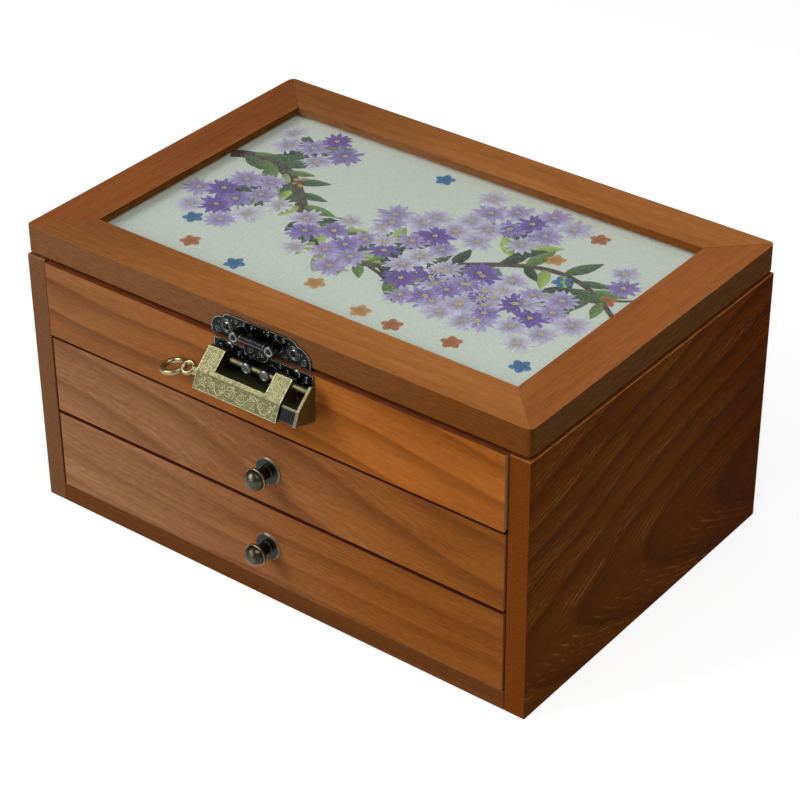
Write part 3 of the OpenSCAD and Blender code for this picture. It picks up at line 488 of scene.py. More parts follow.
def makeGlass(look):
    material, tree, shader, coords = newMaterial("paneGlass")
    smear = cloudy(tree, coords["Object"], (18, 26, 26), 3)
    rough = ramp(tree, smear, 0.3, 0.8, 0.0, look["smear"])
    fixed = {"Base Color": look["tint"], "Transmission Weight": 1.0, "IOR": look["index"]}
    feed(tree, shader, {"Roughness": rough, **fixed})
    rays = put(tree, "LightPath").outputs
    passing = calc(tree, "MAXIMUM", rays["Is Shadow Ray"], rays["Is Diffuse Ray"])
    clear = put(tree, "BsdfTransparent", {0: look["through"]}).outputs[0]
    mixed = put(tree, "MixShader", {0: passing, 1: shader.outputs[0], 2: clear}).outputs[0]
    tree.links.new(mixed, tree.nodes["Material Output"].inputs["Surface"])
    return material


# silk ground: fine plain weave, sin(x) * sin(y), under a faint cloudy mottle
silkLook = {"shade": rgb(198, 205, 193), "light": rgb(211, 217, 206), "raised": rgb(228, 232, 225),
            "mottle": 620, "weave": 9000.0, "sheen": 0.25, "bump": (0.3, 0.1)}


def makeSilk(look):
    material, tree, shader, coords = newMaterial("silkGround")
    x, y = split(tree, coords["Object"])[:2]
    warp = calc(tree, "SINE", times(tree, x, look["weave"]))
    weft = calc(tree, "SINE", times(tree, y, look["weave"]))
    weave = calc(tree, "MULTIPLY_ADD", times(tree, warp, weft), 0.5, 0.5)
    mottle = ramp(tree, cloudy(tree, coords["Object"], (look["mottle"],) * 3, 3), 0.3, 0.7)
    colour = blendColour(tree, mottle, look["shade"], look["light"])
    colour = blendColour(tree, times(tree, weave, 0.15), colour, look["raised"])
    rough = ramp(tree, weave, 0.0, 1.0, 0.62, 0.48)
    connect(tree, shader, colour, rough, weave, look["bump"], {"Sheen Weight": look["sheen"]})
    return material


# silk thread: satin stitches side by side, a wave across each shape's own width, and strands over its tint
# with painted shade and a painted sheen
threadLook = {
    "stitches": 16.0, "strands": (4.2, 0.5, 1.0), "shade": (0.3, 0.25, 0.35, 1), "shadeAmount": 0.7,
    "shine": (1, 1, 1, 1), "shineAmount": 0.4, "gloss": 0.3, "bump": (0.5, 0.2),
}


def makeThread(look):
    material, tree, shader = newMaterial("silkThread")[:3]
    tint = put(tree, "Attribute", attribute_name="threadColour").outputs["Color"]
    stitch = put(tree, "UVMap").outputs[0]
    u = split(tree, stitch)[0]
    wave = calc(tree, "SINE", times(tree, u, look["stitches"]))
    ridge = calc(tree, "MULTIPLY_ADD", wave, 0.5, 0.5)
    strand = cloudy(tree, stitch, look["strands"], 2)
    dark = ramp(tree, strand, 0.52, 0.3, 0.0, look["shadeAmount"])
    bright = ramp(tree, strand, 0.52, 0.72, 0.0, look["shineAmount"])
    colour = blendColour(tree, dark, tint, look["shade"], "MULTIPLY")
    colour = blendColour(tree, bright, colour, look["shine"])
    rough = ramp(tree, ridge, 0.0, 1.0, 0.5, 0.3)
    height = calc(tree, "ADD", ridge, strand)
    connect(tree, shader, colour, rough, height, look["bump"], {"Specular IOR Level": look["gloss"]})
    return material


# velvet: short pile, darker in the strokes that lie away
velvetLook = {"shade": rgb(100, 28, 33), "light": rgb(113, 33, 38), "deep": rgb(70, 16, 22),
              "strokes": (70, 150, 70), "pile": 2600, "sheen": 0.35, "sheenRough": 0.4,
              "bump": (0.5, 0.3)}


def makeVelvet(look):
    material, tree, shader, coords = newMaterial("liningVelvet")
    stroke = cloudy(tree, coords["Object"], look["strokes"], 3)
    pile = cloudy(tree, coords["Object"], (look["pile"],) * 3, 2)
    colour = blendColour(tree, ramp(tree, stroke, 0.35, 0.65), look["shade"], look["light"])
    colour = blendColour(tree, times(tree, pile, 0.4), colour, look["deep"])
    rough = ramp(tree, pile, 0.2, 0.8, 0.95, 0.75)
    fixed = {"Sheen Weight": look["sheen"], "Sheen Roughness": look["sheenRough"]}
    connect(tree, shader, colour, rough, pile, look["bump"], fixed)
    return material


glass, silk = makeGlass(glassLook), makeSilk(silkLook)
thread, velvet = makeThread(threadLook), makeVelvet(velvetLook)
print("glass, silk, thread and velvet ready")

finishes = {
    woods["fixedFront"]: ["upper_front"], woods["upperDrawer"]: ["upper_drawer_front"],
    woods["lowerDrawer"]: ["lower_drawer_front"], woods["base"]: ["bottom_panel"],
    woods["backBoard"]: ["back_panel"], woods["sideRightShaded"]: ["right_side"],
    woods["sideLeft"]: ["left_side"], woods["railLong"]: ["lid_front_rail", "lid_back_rail"],
    woods["railLeft"]: ["lid_left_rail"], woods["railRight"]: ["lid_right_rail"],
    woods["insideFlat"]: [
        "tray_floor", "drawer_divider", "lid_backing", "lid_base", "upper_drawer_bottom",
        "lower_drawer_bottom",
    ],
    woods["insideUpright"]: [
        f"{d}_drawer_{part}" for d in ("upper", "lower") for part in ("left", "right", "back")
    ],
    metals["lockBrass"]: ["lock_body", "lock_shackle"],
    metals["haspBlack"]: [
        "upper_hasp_plate", "lower_hasp_plate", "upper_hasp_nails", "lower_hasp_nails", "hasp_tongue",
        "tongue_pin",
    ],
    metals["knobBronze"]: ["upper_knob", "lower_knob"],
    metals["knobPlate"]: ["upper_knob_plate", "lower_knob_plate"], metals["keyBrass"]: ["lock_key"],
    metals["springSteel"]: ["lock_springs"],
    metals["hingeBrass"]: ["case_hinge_leaves", "lid_hinge_leaves", "hinge_pins"],
    metals["screwSteel"]: ["case_hinge_screws", "lid_hinge_screws", "upper_knob_screw", "lower_knob_screw"],
    glass: ["lid_glass"],
}
for material, names in finishes.items():
    for name in names:
        nodes[name].data.materials.clear()
        nodes[name].data.materials.append(material)

# width in mm of the rounding on each node's sharp edges
easing = {
    1.0: ["lid_front_rail", "lid_back_rail", "lid_left_rail", "lid_right_rail"],
    0.6: ["left_side", "right_side", "bottom_panel", "upper_front", "back_panel"],
    0.7: ["upper_drawer_front", "lower_drawer_front"],
    0.35: ["lock_body", "lock_shackle"],
    0.2: ["upper_hasp_plate", "lower_hasp_plate", "hasp_tongue", "lock_key"],
}
easePlan = {"weld": 0.01, "flatAngle": 1, "sharpAngle": 35, "segments": 3}
for width, names in easing.items():
    for name in names:
        weld = nodes[name].modifiers.new("weld", "WELD")
        weld.merge_threshold = easePlan["weld"] * mm
        flat = nodes[name].modifiers.new("flat", "DECIMATE")
        flat.decimate_type = "DISSOLVE"
        flat.angle_limit = math.radians(easePlan["flatAngle"])
        ease = nodes[name].modifiers.new("ease", "BEVEL")
        ease.width, ease.segments = width * mm, easePlan["segments"]
        ease.limit_method, ease.angle_limit = "ANGLE", math.radians(easePlan["sharpAngle"])
        shade = nodes[name].modifiers.new("shade", "WEIGHTED_NORMAL")
        shade.keep_sharp = True
print("finishes and eased edges on", sum(map(len, finishes.values())), "nodes")


# meshes from whole arrays
def gridFaces(rows, cols):
    i, j = np.meshgrid(np.arange(rows - 1), np.arange(cols - 1), indexing="ij")
    corner = i * cols + j
    return np.stack([corner, corner + 1, corner + cols + 1, corner + cols], -1).reshape(-1, 4)


def manyFaces(count, rows, cols):
    step = np.arange(count)[:, None, None] * rows * cols
    return (gridFaces(rows, cols)[None] + step).reshape(-1, 4)


def toward(angle):
    return np.stack([np.cos(angle), np.sin(angle)], -1)


# a flat path moved sideways, once for each column of offsets
def beside(path, offsets):
    run = np.gradient(path, axis=0)
    run /= np.linalg.norm(run, axis=1, keepdims=True)
    side = np.stack([-run[:, 1], run[:, 0]], -1)
    return path[:, None, :] + side[:, None, :] * offsets[..., None]


# parts as one mesh: points, faces and any further rows; the faces count on from part to part
def joined(parts):
    points, faces, *others = zip(*parts)
    starts = np.concatenate([[0], np.cumsum([len(p) for p in points])[:-1]])
    faces = [f + start for f, start in zip(faces, starts)]
    return [np.concatenate(each) for each in (points, faces, *others)]


def makePiece(name, points, faces, material, body, slotName, uv=None, tint=None):
    mesh = bpy.data.meshes.new(name)
    mesh.from_pydata((points * mm).tolist(), [], faces.tolist())
    mesh.polygons.foreach_set("use_smooth", np.ones(len(faces), bool))
    if uv is not None:
        layer = mesh.uv_layers.new(name="stitches")
        layer.data.foreach_set("uv", uv[faces.ravel()].astype(np.float32).ravel())
    if tint is not None:
        colours = np.concatenate([tint, np.ones((len(tint), 1))], 1)
        layer = mesh.attributes.new("threadColour", "FLOAT_COLOR", "POINT")
        layer.data.foreach_set("color", colours.astype(np.float32).ravel())
    mesh.materials.append(material)
    mesh.update()
    piece = addObject(name, mesh)
    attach(piece, body)
    return piece


# the silk sheet, taut over the backing: crown * (1 - u^2)(1 - v^2) above its level
silkPlan = {"halfWidth": 131.4, "halfDepth": 82.9, "level": 151.78, "crown": 0.03,
            "grid": (81, 51), "stitched": (124.0, 76.0)}


def makeSilkSheet(plan):
    u, v = np.meshgrid(*(np.linspace(-1, 1, count) for count in plan["grid"]), indexing="ij")
    height = plan["level"] + plan["crown"] * (1 - u**2) * (1 - v**2)
    points = np.stack([u * plan["halfWidth"], v * plan["halfDepth"], height], -1).reshape(-1, 3)
    sheet = makePiece("silkSheet", points, gridFaces(*plan["grid"])[:, ::-1], silk, "lid", "silk")
    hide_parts("lid_silk")
    return sheet


silkSheet = makeSilkSheet(silkPlan)
print("silk stretched over the backing")

# the stitched design: a winding vine, twigs that end in blossom clusters, leaves and small accents;
# each twig has its start along the vine, side, length and curl
vinePlan = {
    "left": -126.0, "right": 126.0, "swing": 30.0, "waves": 1.35, "phase": 0.9, "thick": 8.0, "thin": 2.6,
    "bark": rgb(78, 62, 54), "relief": 0.14, "steps": 160, "twigSteps": 28, "twigTurn": 0.85,
    "twigCurl": 1.2, "twigThick": 2.6, "twigTaper": 1.5, "twigRelief": 0.1, "twigLift": 0.01, "calm": 0.25,
    "twigs": [
        (0.08, 1, 38, 0.9), (0.17, -1, 36, -0.8), (0.30, 1, 26, -0.7), (0.42, 1, 50, 0.6),
        (0.50, -1, 42, 0.9), (0.62, -1, 30, -0.6), (0.70, 1, 46, 0.8), (0.84, -1, 44, -0.9),
        (0.92, 1, 30, 0.7),
    ],
}


# one stitched shape: width sin(pi * t^power) across its length t, crowned (1 - s^2) over its width s; a
# split one has halves in two tones; ribbons are banded, and their stitches slant
stitchPlan = {
    "start": 0.03, "span": 0.95, "lean": 0.12, "contrast": 0.35, "slant": 2.5, "band": 0.25, "bandStep": 0.9,
}


def stitchedShapes(
    base, heading, length, width, power, relief, lift, inner, outer, split=0.0, rows=7, cols=5,
):
    t = np.linspace(0, 1, rows)[None, :, None]
    s = np.linspace(-1, 1, cols)[None, None, :]
    grow = np.sin(np.pi * (stitchPlan["start"] + stitchPlan["span"] * t) ** power)
    along = length[:, None, None] * t * np.ones_like(s)
    across = width[:, None, None] / 2 * grow * s
    cos, sin = np.cos(heading)[:, None, None], np.sin(heading)[:, None, None]
    x = base[:, 0, None, None] + along * cos - across * sin
    y = base[:, 1, None, None] + along * sin + across * cos
    crown = relief * (1 - s**2) * np.sqrt(np.clip(grow, 0, 1))
    z = silkPlan["level"] + silkPlan["crown"] + lift[:, None, None] + crown
    points = np.stack([x, y, z], -1).reshape(-1, 3)
    stitchUv = np.stack([across, along], -1).reshape(-1, 2)
    share = np.clip(t + stitchPlan["lean"] * s * split, 0, 1)[..., None] * np.ones((1, 1, cols, 1))
    tint = inner[:, None, None, :] * (1 - share) + outer[:, None, None, :] * share
    tint = tint * (1 + split * stitchPlan["contrast"] * np.sign(s)[..., None])
    return points, manyFaces(len(base), rows, cols), stitchUv, np.clip(tint, 0, 1).reshape(-1, 3)


# a twig or vine: a crowned ribbon carried along its path, tapering from its root to its tip
def stitchedRibbon(path, widths, relief, lift, colour, cols=5):
    s = np.linspace(-1, 1, cols)[None, :]
    flat = beside(path, widths[:, None] / 2 * s)
    z = silkPlan["level"] + silkPlan["crown"] + lift + relief * (1 - s**2) * np.ones((len(path), 1))
    points = np.concatenate([flat, z[..., None]], -1).reshape(-1, 3)
    travelled = np.concatenate([[0], np.cumsum(np.linalg.norm(np.diff(path, axis=0), axis=1))])
    slanted = travelled[:, None] + stitchPlan["slant"] * s
    stitchUv = np.stack([slanted, widths[:, None] / 2 * s], -1).reshape(-1, 2)
    bands = 1 + stitchPlan["band"] * np.sin(travelled * stitchPlan["bandStep"])
    bands = bands[:, None].repeat(cols, 0)
    tint = np.tile(np.array(colour[:3]), (len(points), 1)) * bands
    return points, gridFaces(len(path), cols), stitchUv, np.clip(tint, 0, 1)


def stitchedPiece(name, parts):
    points, faces, uv, tint = joined(parts)
    return makePiece(name, points, faces[:, ::-1], thread, "lid", "silk", uv, tint)


# the vine: y = swing * sin(turns of x), calmer towards the right
def vinePoint(plan, t):
    x = plan["left"] + (plan["right"] - plan["left"]) * t
    y = plan["swing"] * np.sin(2 * np.pi * plan["waves"] * t + plan["phase"]) * (1 - plan["calm"] * t)
    return np.stack([x, y], -1)


def makeVine(plan):
    bark = plan["bark"]
    t = np.linspace(0, 1, plan["steps"])
    widths = plan["thick"] + (plan["thin"] - plan["thick"]) * t
    ribbons = [stitchedRibbon(vinePoint(plan, t), widths, plan["relief"], 0.0, bark)]
    step = np.linspace(0, 1, plan["twigSteps"])
    ends, twigs = [], []
    for start, side, length, curl in plan["twigs"]:
        root = vinePoint(plan, np.array([start, start + 0.01]))
        heading = math.atan2(*(root[1] - root[0])[::-1]) + side * plan["twigTurn"]
        angle = heading + curl * step * plan["twigCurl"]
        pace = length / (plan["twigSteps"] - 1)
        moves = toward(angle)[:-1] * pace
        path = root[0] + np.concatenate([[[0, 0]], np.cumsum(moves, axis=0)])
        widths = plan["twigThick"] - plan["twigTaper"] * step
        ribbons.append(stitchedRibbon(path, widths, plan["twigRelief"], plan["twigLift"], bark))
        ends.append(path[-1])
        twigs.append(path)
    return stitchedPiece("stitchedVine", ribbons), np.array(ends), twigs


stitchedVine, twigEnds, twigPaths = makeVine(vinePlan)


def insidePanel(spots, margin=8.0):
    return (np.abs(spots) < np.array(silkPlan["stitched"]) - margin).all(1)


# clusters: blossoms on a sunflower spiral round each twig end, r = spread * sqrt((k + 0.4) / n), turned by
# the golden angle
blossomPlan = {
    "spread": 27.0, "perCluster": 12, "petals": 12, "petal": (9.5, 12.5), "wide": 0.25, "relief": 0.14,
    "seed": 11, "oval": (1.15, 0.9), "scatter": 1.1, "knotCount": 5, "knotStep": 1.257,
    "knotSize": (1.7, 1.0), "knotLift": 0.36, "rings": ((1.0, 0.0, 0.0, 1.0), (0.66, 0.5, 0.1, 0.82)),
    "tints": [
        rgb(134, 100, 190), rgb(170, 146, 218), rgb(206, 190, 238), rgb(232, 224, 248), rgb(246, 243, 252),
    ],
    "throat": rgb(70, 40, 128), "throatShare": 0.65, "knots": rgb(232, 206, 116), "knotRelief": 0.06,
    "level": (0.04, 0.14), "turnError": 0.09, "reachError": (0.85, 1.08), "toneError": (0.78, 1.1),
    "power": 1.5, "shrink": 0.15, "paler": 3.0, "tintError": (0.6, 1.1), "overlap": 0.03, "leastWide": 0.35,
    "knotShade": 0.7,
}
draws = np.random.default_rng(blossomPlan["seed"])
goldenAngle = 2.39996


def clusterSpots(plan, ends):
    k = np.arange(plan["perCluster"])
    radius = plan["spread"] * np.sqrt((k + 0.4) / plan["perCluster"])
    around = radius[:, None] * toward(k * goldenAngle) * np.array(plan["oval"])
    scatter = draws.normal(0, plan["scatter"], (len(ends), len(k), 2))
    spots = (ends[:, None, :] + around[None] + scatter).reshape(-1, 2)
    depth = np.tile(radius / plan["spread"], len(ends))
    keep = insidePanel(spots)
    return spots[keep], depth[keep]


# asters: a ring of long petals, a shorter ring turned half a step above it, and a knotted heart; each ring
# has its reach, turn, rise and shade
def makeBlossoms(plan, ends):
    spots, depth = clusterSpots(plan, ends)
    count, each = len(spots), plan["petals"]
    size = draws.uniform(*plan["petal"], count) * (1 - plan["shrink"] * depth)
    tones = np.array(plan["tints"])[:, :3]
    throat = np.array(plan["throat"][:3])
    pick = depth * plan["paler"] + draws.normal(*plan["tintError"], count)
    pick = np.clip(pick.astype(int), 0, len(tones) - 1)
    start = draws.uniform(0, 2 * np.pi, count)
    level = draws.uniform(*plan["level"], count)
    parts = []
    for reach, turn, rise, shade in plan["rings"]:
        step = (np.arange(each) + turn) * 2 * np.pi / each
        error = draws.normal(0, plan["turnError"], (count, each))
        heading = (start[:, None] + step + error).ravel()
        lift = (level[:, None] + rise + plan["overlap"] * (np.arange(each) % 2)).ravel()
        error = draws.uniform(*plan["reachError"], (count, each))
        length = (size[:, None] * reach * error).ravel()
        vary = draws.uniform(*plan["toneError"], (count * each, 1))
        outer = np.repeat(tones[pick], each, axis=0) * vary * shade
        inner = outer * (1 - plan["throatShare"]) + throat * plan["throatShare"]
        base = np.repeat(spots, each, axis=0)
        width = plan["wide"] * length + plan["leastWide"]
        shape = length, width, plan["power"], plan["relief"], lift
        parts.append(stitchedShapes(base, heading, *shape, inner, outer, rows=6))
    knots = plan["knotCount"]
    turns = np.tile(np.arange(knots) * plan["knotStep"], count)
    heading = np.repeat(draws.uniform(0, 2 * np.pi, count), knots) + turns
    ones = np.ones(count * knots)
    length, width = (ones * size for size in plan["knotSize"])
    gold = np.tile(np.array(plan["knots"][:3]), (count * knots, 1))
    base, lift = np.repeat(spots, knots, axis=0), ones * plan["knotLift"]
    shape = length, width, 1.0, plan["knotRelief"], lift
    parts.append(stitchedShapes(base, heading, *shape, gold * plan["knotShade"], gold, rows=4, cols=3))
    return stitchedPiece("stitchedBlossoms", parts), spots


stitchedBlossoms, blossomSpots = makeBlossoms(blossomPlan, twigEnds)


# leaves in pairs along the vine and the twigs, halves in two tones
leafPlan = {
    "length": (15.0, 24.0), "wide": 0.38, "relief": 0.12, "pairs": 26, "vineTurn": 0.8, "twigTurn": 0.7,
    "twigSteps": [6, 11, 16], "sway": 0.25, "kept": 0.85, "power": 0.85, "lift": (0.01, 0.09), "split": 0.6,
    "along": (0.03, 0.97), "margin": 2.0, "shade": 0.8,
    "tints": [rgb(64, 98, 50), rgb(38, 62, 38), rgb(104, 138, 60), rgb(166, 190, 92)],
}


def makeLeaves(plan):
    t = np.linspace(*plan["along"], plan["pairs"])
    stem = vinePoint(vinePlan, t)
    run = vinePoint(vinePlan, t + 0.004) - stem
    alongVine = np.arctan2(run[:, 1], run[:, 0])
    at = np.array(plan["twigSteps"])
    twigSpots = np.concatenate([path[at] for path in twigPaths])
    twigRun = np.concatenate([path[at + 1] - path[at] for path in twigPaths])
    alongTwig = np.arctan2(twigRun[:, 1], twigRun[:, 0])
    base = np.concatenate([stem, stem, twigSpots, twigSpots])
    vineTurn, twigTurn = plan["vineTurn"], plan["twigTurn"]
    heading = np.concatenate(
        [alongVine + vineTurn, alongVine - vineTurn, alongTwig + twigTurn, alongTwig - twigTurn],
    )
    heading = heading + draws.normal(0, plan["sway"], len(heading))
    length = draws.uniform(*plan["length"], len(base))
    tip = base + length[:, None] * toward(heading)
    keep = insidePanel(tip, plan["margin"]) & (draws.uniform(0, 1, len(base)) < plan["kept"])
    base, heading, length = base[keep], heading[keep], length[keep]
    tones = np.array(plan["tints"])[:, :3]
    tones = tones[draws.integers(0, len(tones), len(base))]
    lift = draws.uniform(*plan["lift"], len(base))
    shape = length, length * plan["wide"], plan["power"], plan["relief"], lift
    made = stitchedShapes(base, heading, *shape, tones * plan["shade"], tones, split=plan["split"])
    return stitchedPiece("stitchedLeaves", [made])


stitchedLeaves = makeLeaves(leafPlan)


# small accent blossoms scattered on the bare ground, clear of the clusters
accentPlan = {
    "petal": 5.6, "wide": 0.75, "power": 1.35, "relief": 0.12, "lift": 0.05, "shade": 0.5, "turn": 6,
    "tints": [rgb(206, 112, 40), rgb(52, 124, 184), rgb(226, 160, 80)],
    "most": 14, "petals": 5, "tries": 400, "reach": (112, 66), "clear": 13, "apart": 17,
}


def makeAccents(plan):
    reach, petals = np.array(plan["reach"]), plan["petals"]
    spots = draws.uniform(-reach, reach, (plan["tries"], 2))
    far = np.linalg.norm(spots[:, None] - blossomSpots[None], axis=2).min(1) > plan["clear"]
    spots = spots[far]
    chosen = [0]
    for i in range(1, len(spots)):
        if np.linalg.norm(spots[i] - spots[chosen], axis=1).min() > plan["apart"]:
            chosen.append(i)
    spots = spots[chosen][: plan["most"]]
    count = len(spots)
    tones = np.array(plan["tints"])[:, :3]
    tones = tones[np.arange(count) % len(tones)]
    turn = draws.uniform(0, plan["turn"], count)
    heading = (turn[:, None] + np.arange(petals) * 2 * np.pi / petals).ravel()
    base, outer = np.repeat(spots, petals, axis=0), np.repeat(tones, petals, axis=0)
    length = np.full(count * petals, plan["petal"])
    lift = np.full(count * petals, plan["lift"])
    width = length * plan["wide"]
    shape = length, width, plan["power"], plan["relief"], lift
    made = stitchedShapes(base, heading, *shape, outer * plan["shade"], outer, rows=6)
    return stitchedPiece("stitchedAccents", [made])


stitchedAccents = makeAccents(accentPlan)
print("stitched design:", len(blossomSpots), "blossoms")

# lining pads: closed forms, top and bottom grids that meet at the rim; the top rises by
# sqrt((1 - |u|^power)(1 - |v|^power)) with low waves, and the sides pull in a little between the corners
padShape = {
    "grid": (73, 49), "power": 14, "rise": 0.55, "rim": 0.35, "wave": 0.12, "under": 1.4, "pull": 0.004,
}
padPlan = {
    "tray_lining": ("trayLiningPad", "case"),
    "upper_drawer_lining": ("upperDrawerLiningPad", "upper_drawer"),
    "lower_drawer_lining": ("lowerDrawerLiningPad", "lower_drawer"),
}


def makePad(node, name, body):
    low, high = (np.array(corner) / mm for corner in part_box(node))
    shape = padShape
    u, v = np.meshgrid(*(np.linspace(-1, 1, count) for count in shape["grid"]), indexing="ij")
    u, v = np.sin(u * np.pi / 2), np.sin(v * np.pi / 2)  # closer rows near the rim
    middle, half = (low + high) / 2, (high - low) / 2
    edge = (1 - np.abs(u) ** shape["power"]) * (1 - np.abs(v) ** shape["power"])
    edge = np.sqrt(np.clip(edge, 0, 1))
    waves = shape["wave"] * np.sin(u * 9 + 2 * v) * np.cos(v * 7 - u) * edge
    rise = (high[2] - low[2]) * shape["rise"]
    rim = low[2] + shape["rim"] * (high[2] - low[2])
    top = rim + (rise + waves) * edge
    under = rim - (rim - low[2]) * np.clip(edge * shape["under"], 0, 1)
    x = middle[0] + half[0] * u * (1 - shape["pull"] * np.cos(v * np.pi / 2) ** 2)
    y = middle[1] + half[1] * v * (1 - shape["pull"] * np.cos(u * np.pi / 2) ** 2)
    count = u.size
    index = np.arange(count).reshape(u.shape)
    inner = index[1:-1, 1:-1]
    lowerIndex = index.copy()
    lowerIndex[1:-1, 1:-1] = count + np.arange(inner.size).reshape(inner.shape)
    topPoints = np.stack([x, y, top], -1).reshape(-1, 3)
    underPoints = np.stack([x, y, under], -1)[1:-1, 1:-1].reshape(-1, 3)
    points = np.concatenate([topPoints, underPoints])
    upper = gridFaces(*u.shape)[:, ::-1]
    lower = lowerIndex.ravel()[gridFaces(*u.shape)]
    pad = makePiece(name, points, np.concatenate([upper, lower]), velvet, body, "lining")
    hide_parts(node)


for node, (name, body) in padPlan.items():
    makePad(node, name, body)
print("lining pads laid")

# scrolls on the lock: half-round strands on spirals, raised from its sloping faces; foot, crease and ridge
# are the corners of its section; strokes are a count, a reach and how far up the face they go
lockPlan = {"axisY": -108.0, "axisZ": 136.2, "rodUp": 16.4, "tilt": 15.9, "left": -26.2, "right": 23.6,
            "foot": (-9.4, 0.0), "crease": (-8.2, 8.9), "ridge": (-1.4, 19.8), "strand": 0.24, "raise": 0.2,
            "scrolls": 8, "scrollInset": 4.6, "scrollUp": 4.6, "scrollSize": 2.3, "scrollStart": -1.2,
            "scrollTurns": 1.7, "waveUp": 4.5, "waveSwing": 3.1, "waveHalves": 7, "waveSteps": 110,
            "hornInset": 4.7, "hornStart": -1.5, "hornTurns": 1.5, "edge": 1.2,
            "hornScrolls": ((3.0, 2.2), (6.6, 1.6), (9.6, 1.1)), "hornWide": 7.4, "strokeSteps": 6,
            "strokeLow": 0.8, "strokeArc": 1.5, "strokeTaper": (0.75, 0.3), "frontStrokes": (190, 0.8, 8.2),
            "hornStrokes": (42, 0.7, 10.6)}
strandSteps, strandColumns, strandSink = 34, 5, 0.03


def onLockFace(plan, x, up, low, high, out):
    # a point up mm along the face from its low edge to its high edge, and out mm from it
    low, high = np.array(low), np.array(high)
    run = (high - low) / np.linalg.norm(high - low)
    v = low[0] + run[0] * up - run[1] * out
    u = low[1] + run[1] * up + run[0] * out
    tilt = math.radians(plan["tilt"])
    y = plan["axisY"] + v * math.cos(tilt) + (u - plan["rodUp"]) * math.sin(tilt)
    z = plan["axisZ"] + (u - plan["rodUp"]) * math.cos(tilt) - v * math.sin(tilt)
    return np.stack([x, y, z], -1)


# half-round strand along a flat path: width * s to the side, height * sqrt(1 - s^2) out of the face, its
# foot sunk a little
def raisedStrand(path, widths, height):
    s = np.linspace(-1, 1, strandColumns)[None, :]
    flat = beside(path, widths[:, None] * s)
    out = height * (np.sqrt(np.clip(1 - s**2, 0, 1)) * (widths[:, None] / widths.max())) - strandSink
    return flat, out


def strandOnFace(plan, path, widths, low, high):
    flat, out = raisedStrand(path, widths, plan["raise"])
    points = onLockFace(plan, flat[..., 0], flat[..., 1], low, high, out)
    return points.reshape(-1, 3), gridFaces(len(path), strandColumns)


# a spiral that closes in, r = size * (1 - 0.93 * t^0.85)
def spiral(centre, size, begin, turns, handed):
    t = np.linspace(0, 1, strandSteps)
    angle = begin + handed * turns * 2 * np.pi * t
    radius = size * (1 - 0.93 * t**0.85)
    return np.array(centre) + radius[:, None] * toward(angle)


# short comma strokes scattered over a face, each an arc that tapers
def commaStrokes(plan, strokes, left, right, low, high):
    count, reach, top = strokes
    strands = []
    taper = np.linspace(*plan["strokeTaper"], plan["strokeSteps"])
    for x, up, angle in draws.uniform((left, plan["strokeLow"], 0), (right, top, 6.28), (count, 3)):
        bend = angle + np.linspace(0, plan["strokeArc"], plan["strokeSteps"])
        path = np.array([x, up]) + reach * toward(bend)
        strands.append(strandOnFace(plan, path, plan["strand"] * taper, low, high))
    return strands


def makeScrolls(plan):
    strands = []
    left, right, edge = plan["left"], plan["right"], plan["edge"]
    front, horn = (plan["foot"], plan["crease"]), (plan["crease"], plan["ridge"])
    widths = plan["strand"] * np.linspace(1.0, 0.5, strandSteps)
    inset = plan["scrollInset"]
    for i, x in enumerate(np.linspace(left + inset, right - inset, plan["scrolls"])):
        handed = 1 if i % 2 else -1
        centre = (x, plan["scrollUp"])
        path = spiral(centre, plan["scrollSize"], handed * plan["scrollStart"], plan["scrollTurns"], handed)
        strands.append(strandOnFace(plan, path, widths, *front))
    # one wave runs between the scrolls
    t = np.linspace(0, 1, plan["waveSteps"])
    across = left + edge + (right - left - 2 * edge) * t
    up = plan["waveUp"] + plan["waveSwing"] * np.cos(t * plan["waveHalves"] * np.pi + np.pi)
    wave = np.stack([across, up], -1)
    strands.append(strandOnFace(plan, wave, np.full(len(t), plan["strand"]), *front))
    inset, wide = plan["hornInset"], plan["hornWide"]
    for x, handed in ((left + inset, 1), (right - inset, -1)):
        for up, size in plan["hornScrolls"]:
            path = spiral((x, up), size, plan["hornStart"], plan["hornTurns"], handed)
            strands.append(strandOnFace(plan, path, widths, *horn))
    strands += commaStrokes(plan, plan["frontStrokes"], left + edge, right - edge, *front)
    for start in (left + edge, right - edge - wide):
        strands += commaStrokes(plan, plan["hornStrokes"], start, start + wide, *horn)
    # the scrolls take the lighter brass, a painted highlight
    return makePiece("lockScrolls", *joined(strands), metals["scrollBrassHighlight"], "lock", "lock_brass")


makeScrolls(lockPlan)
print("scrolls on the lock")

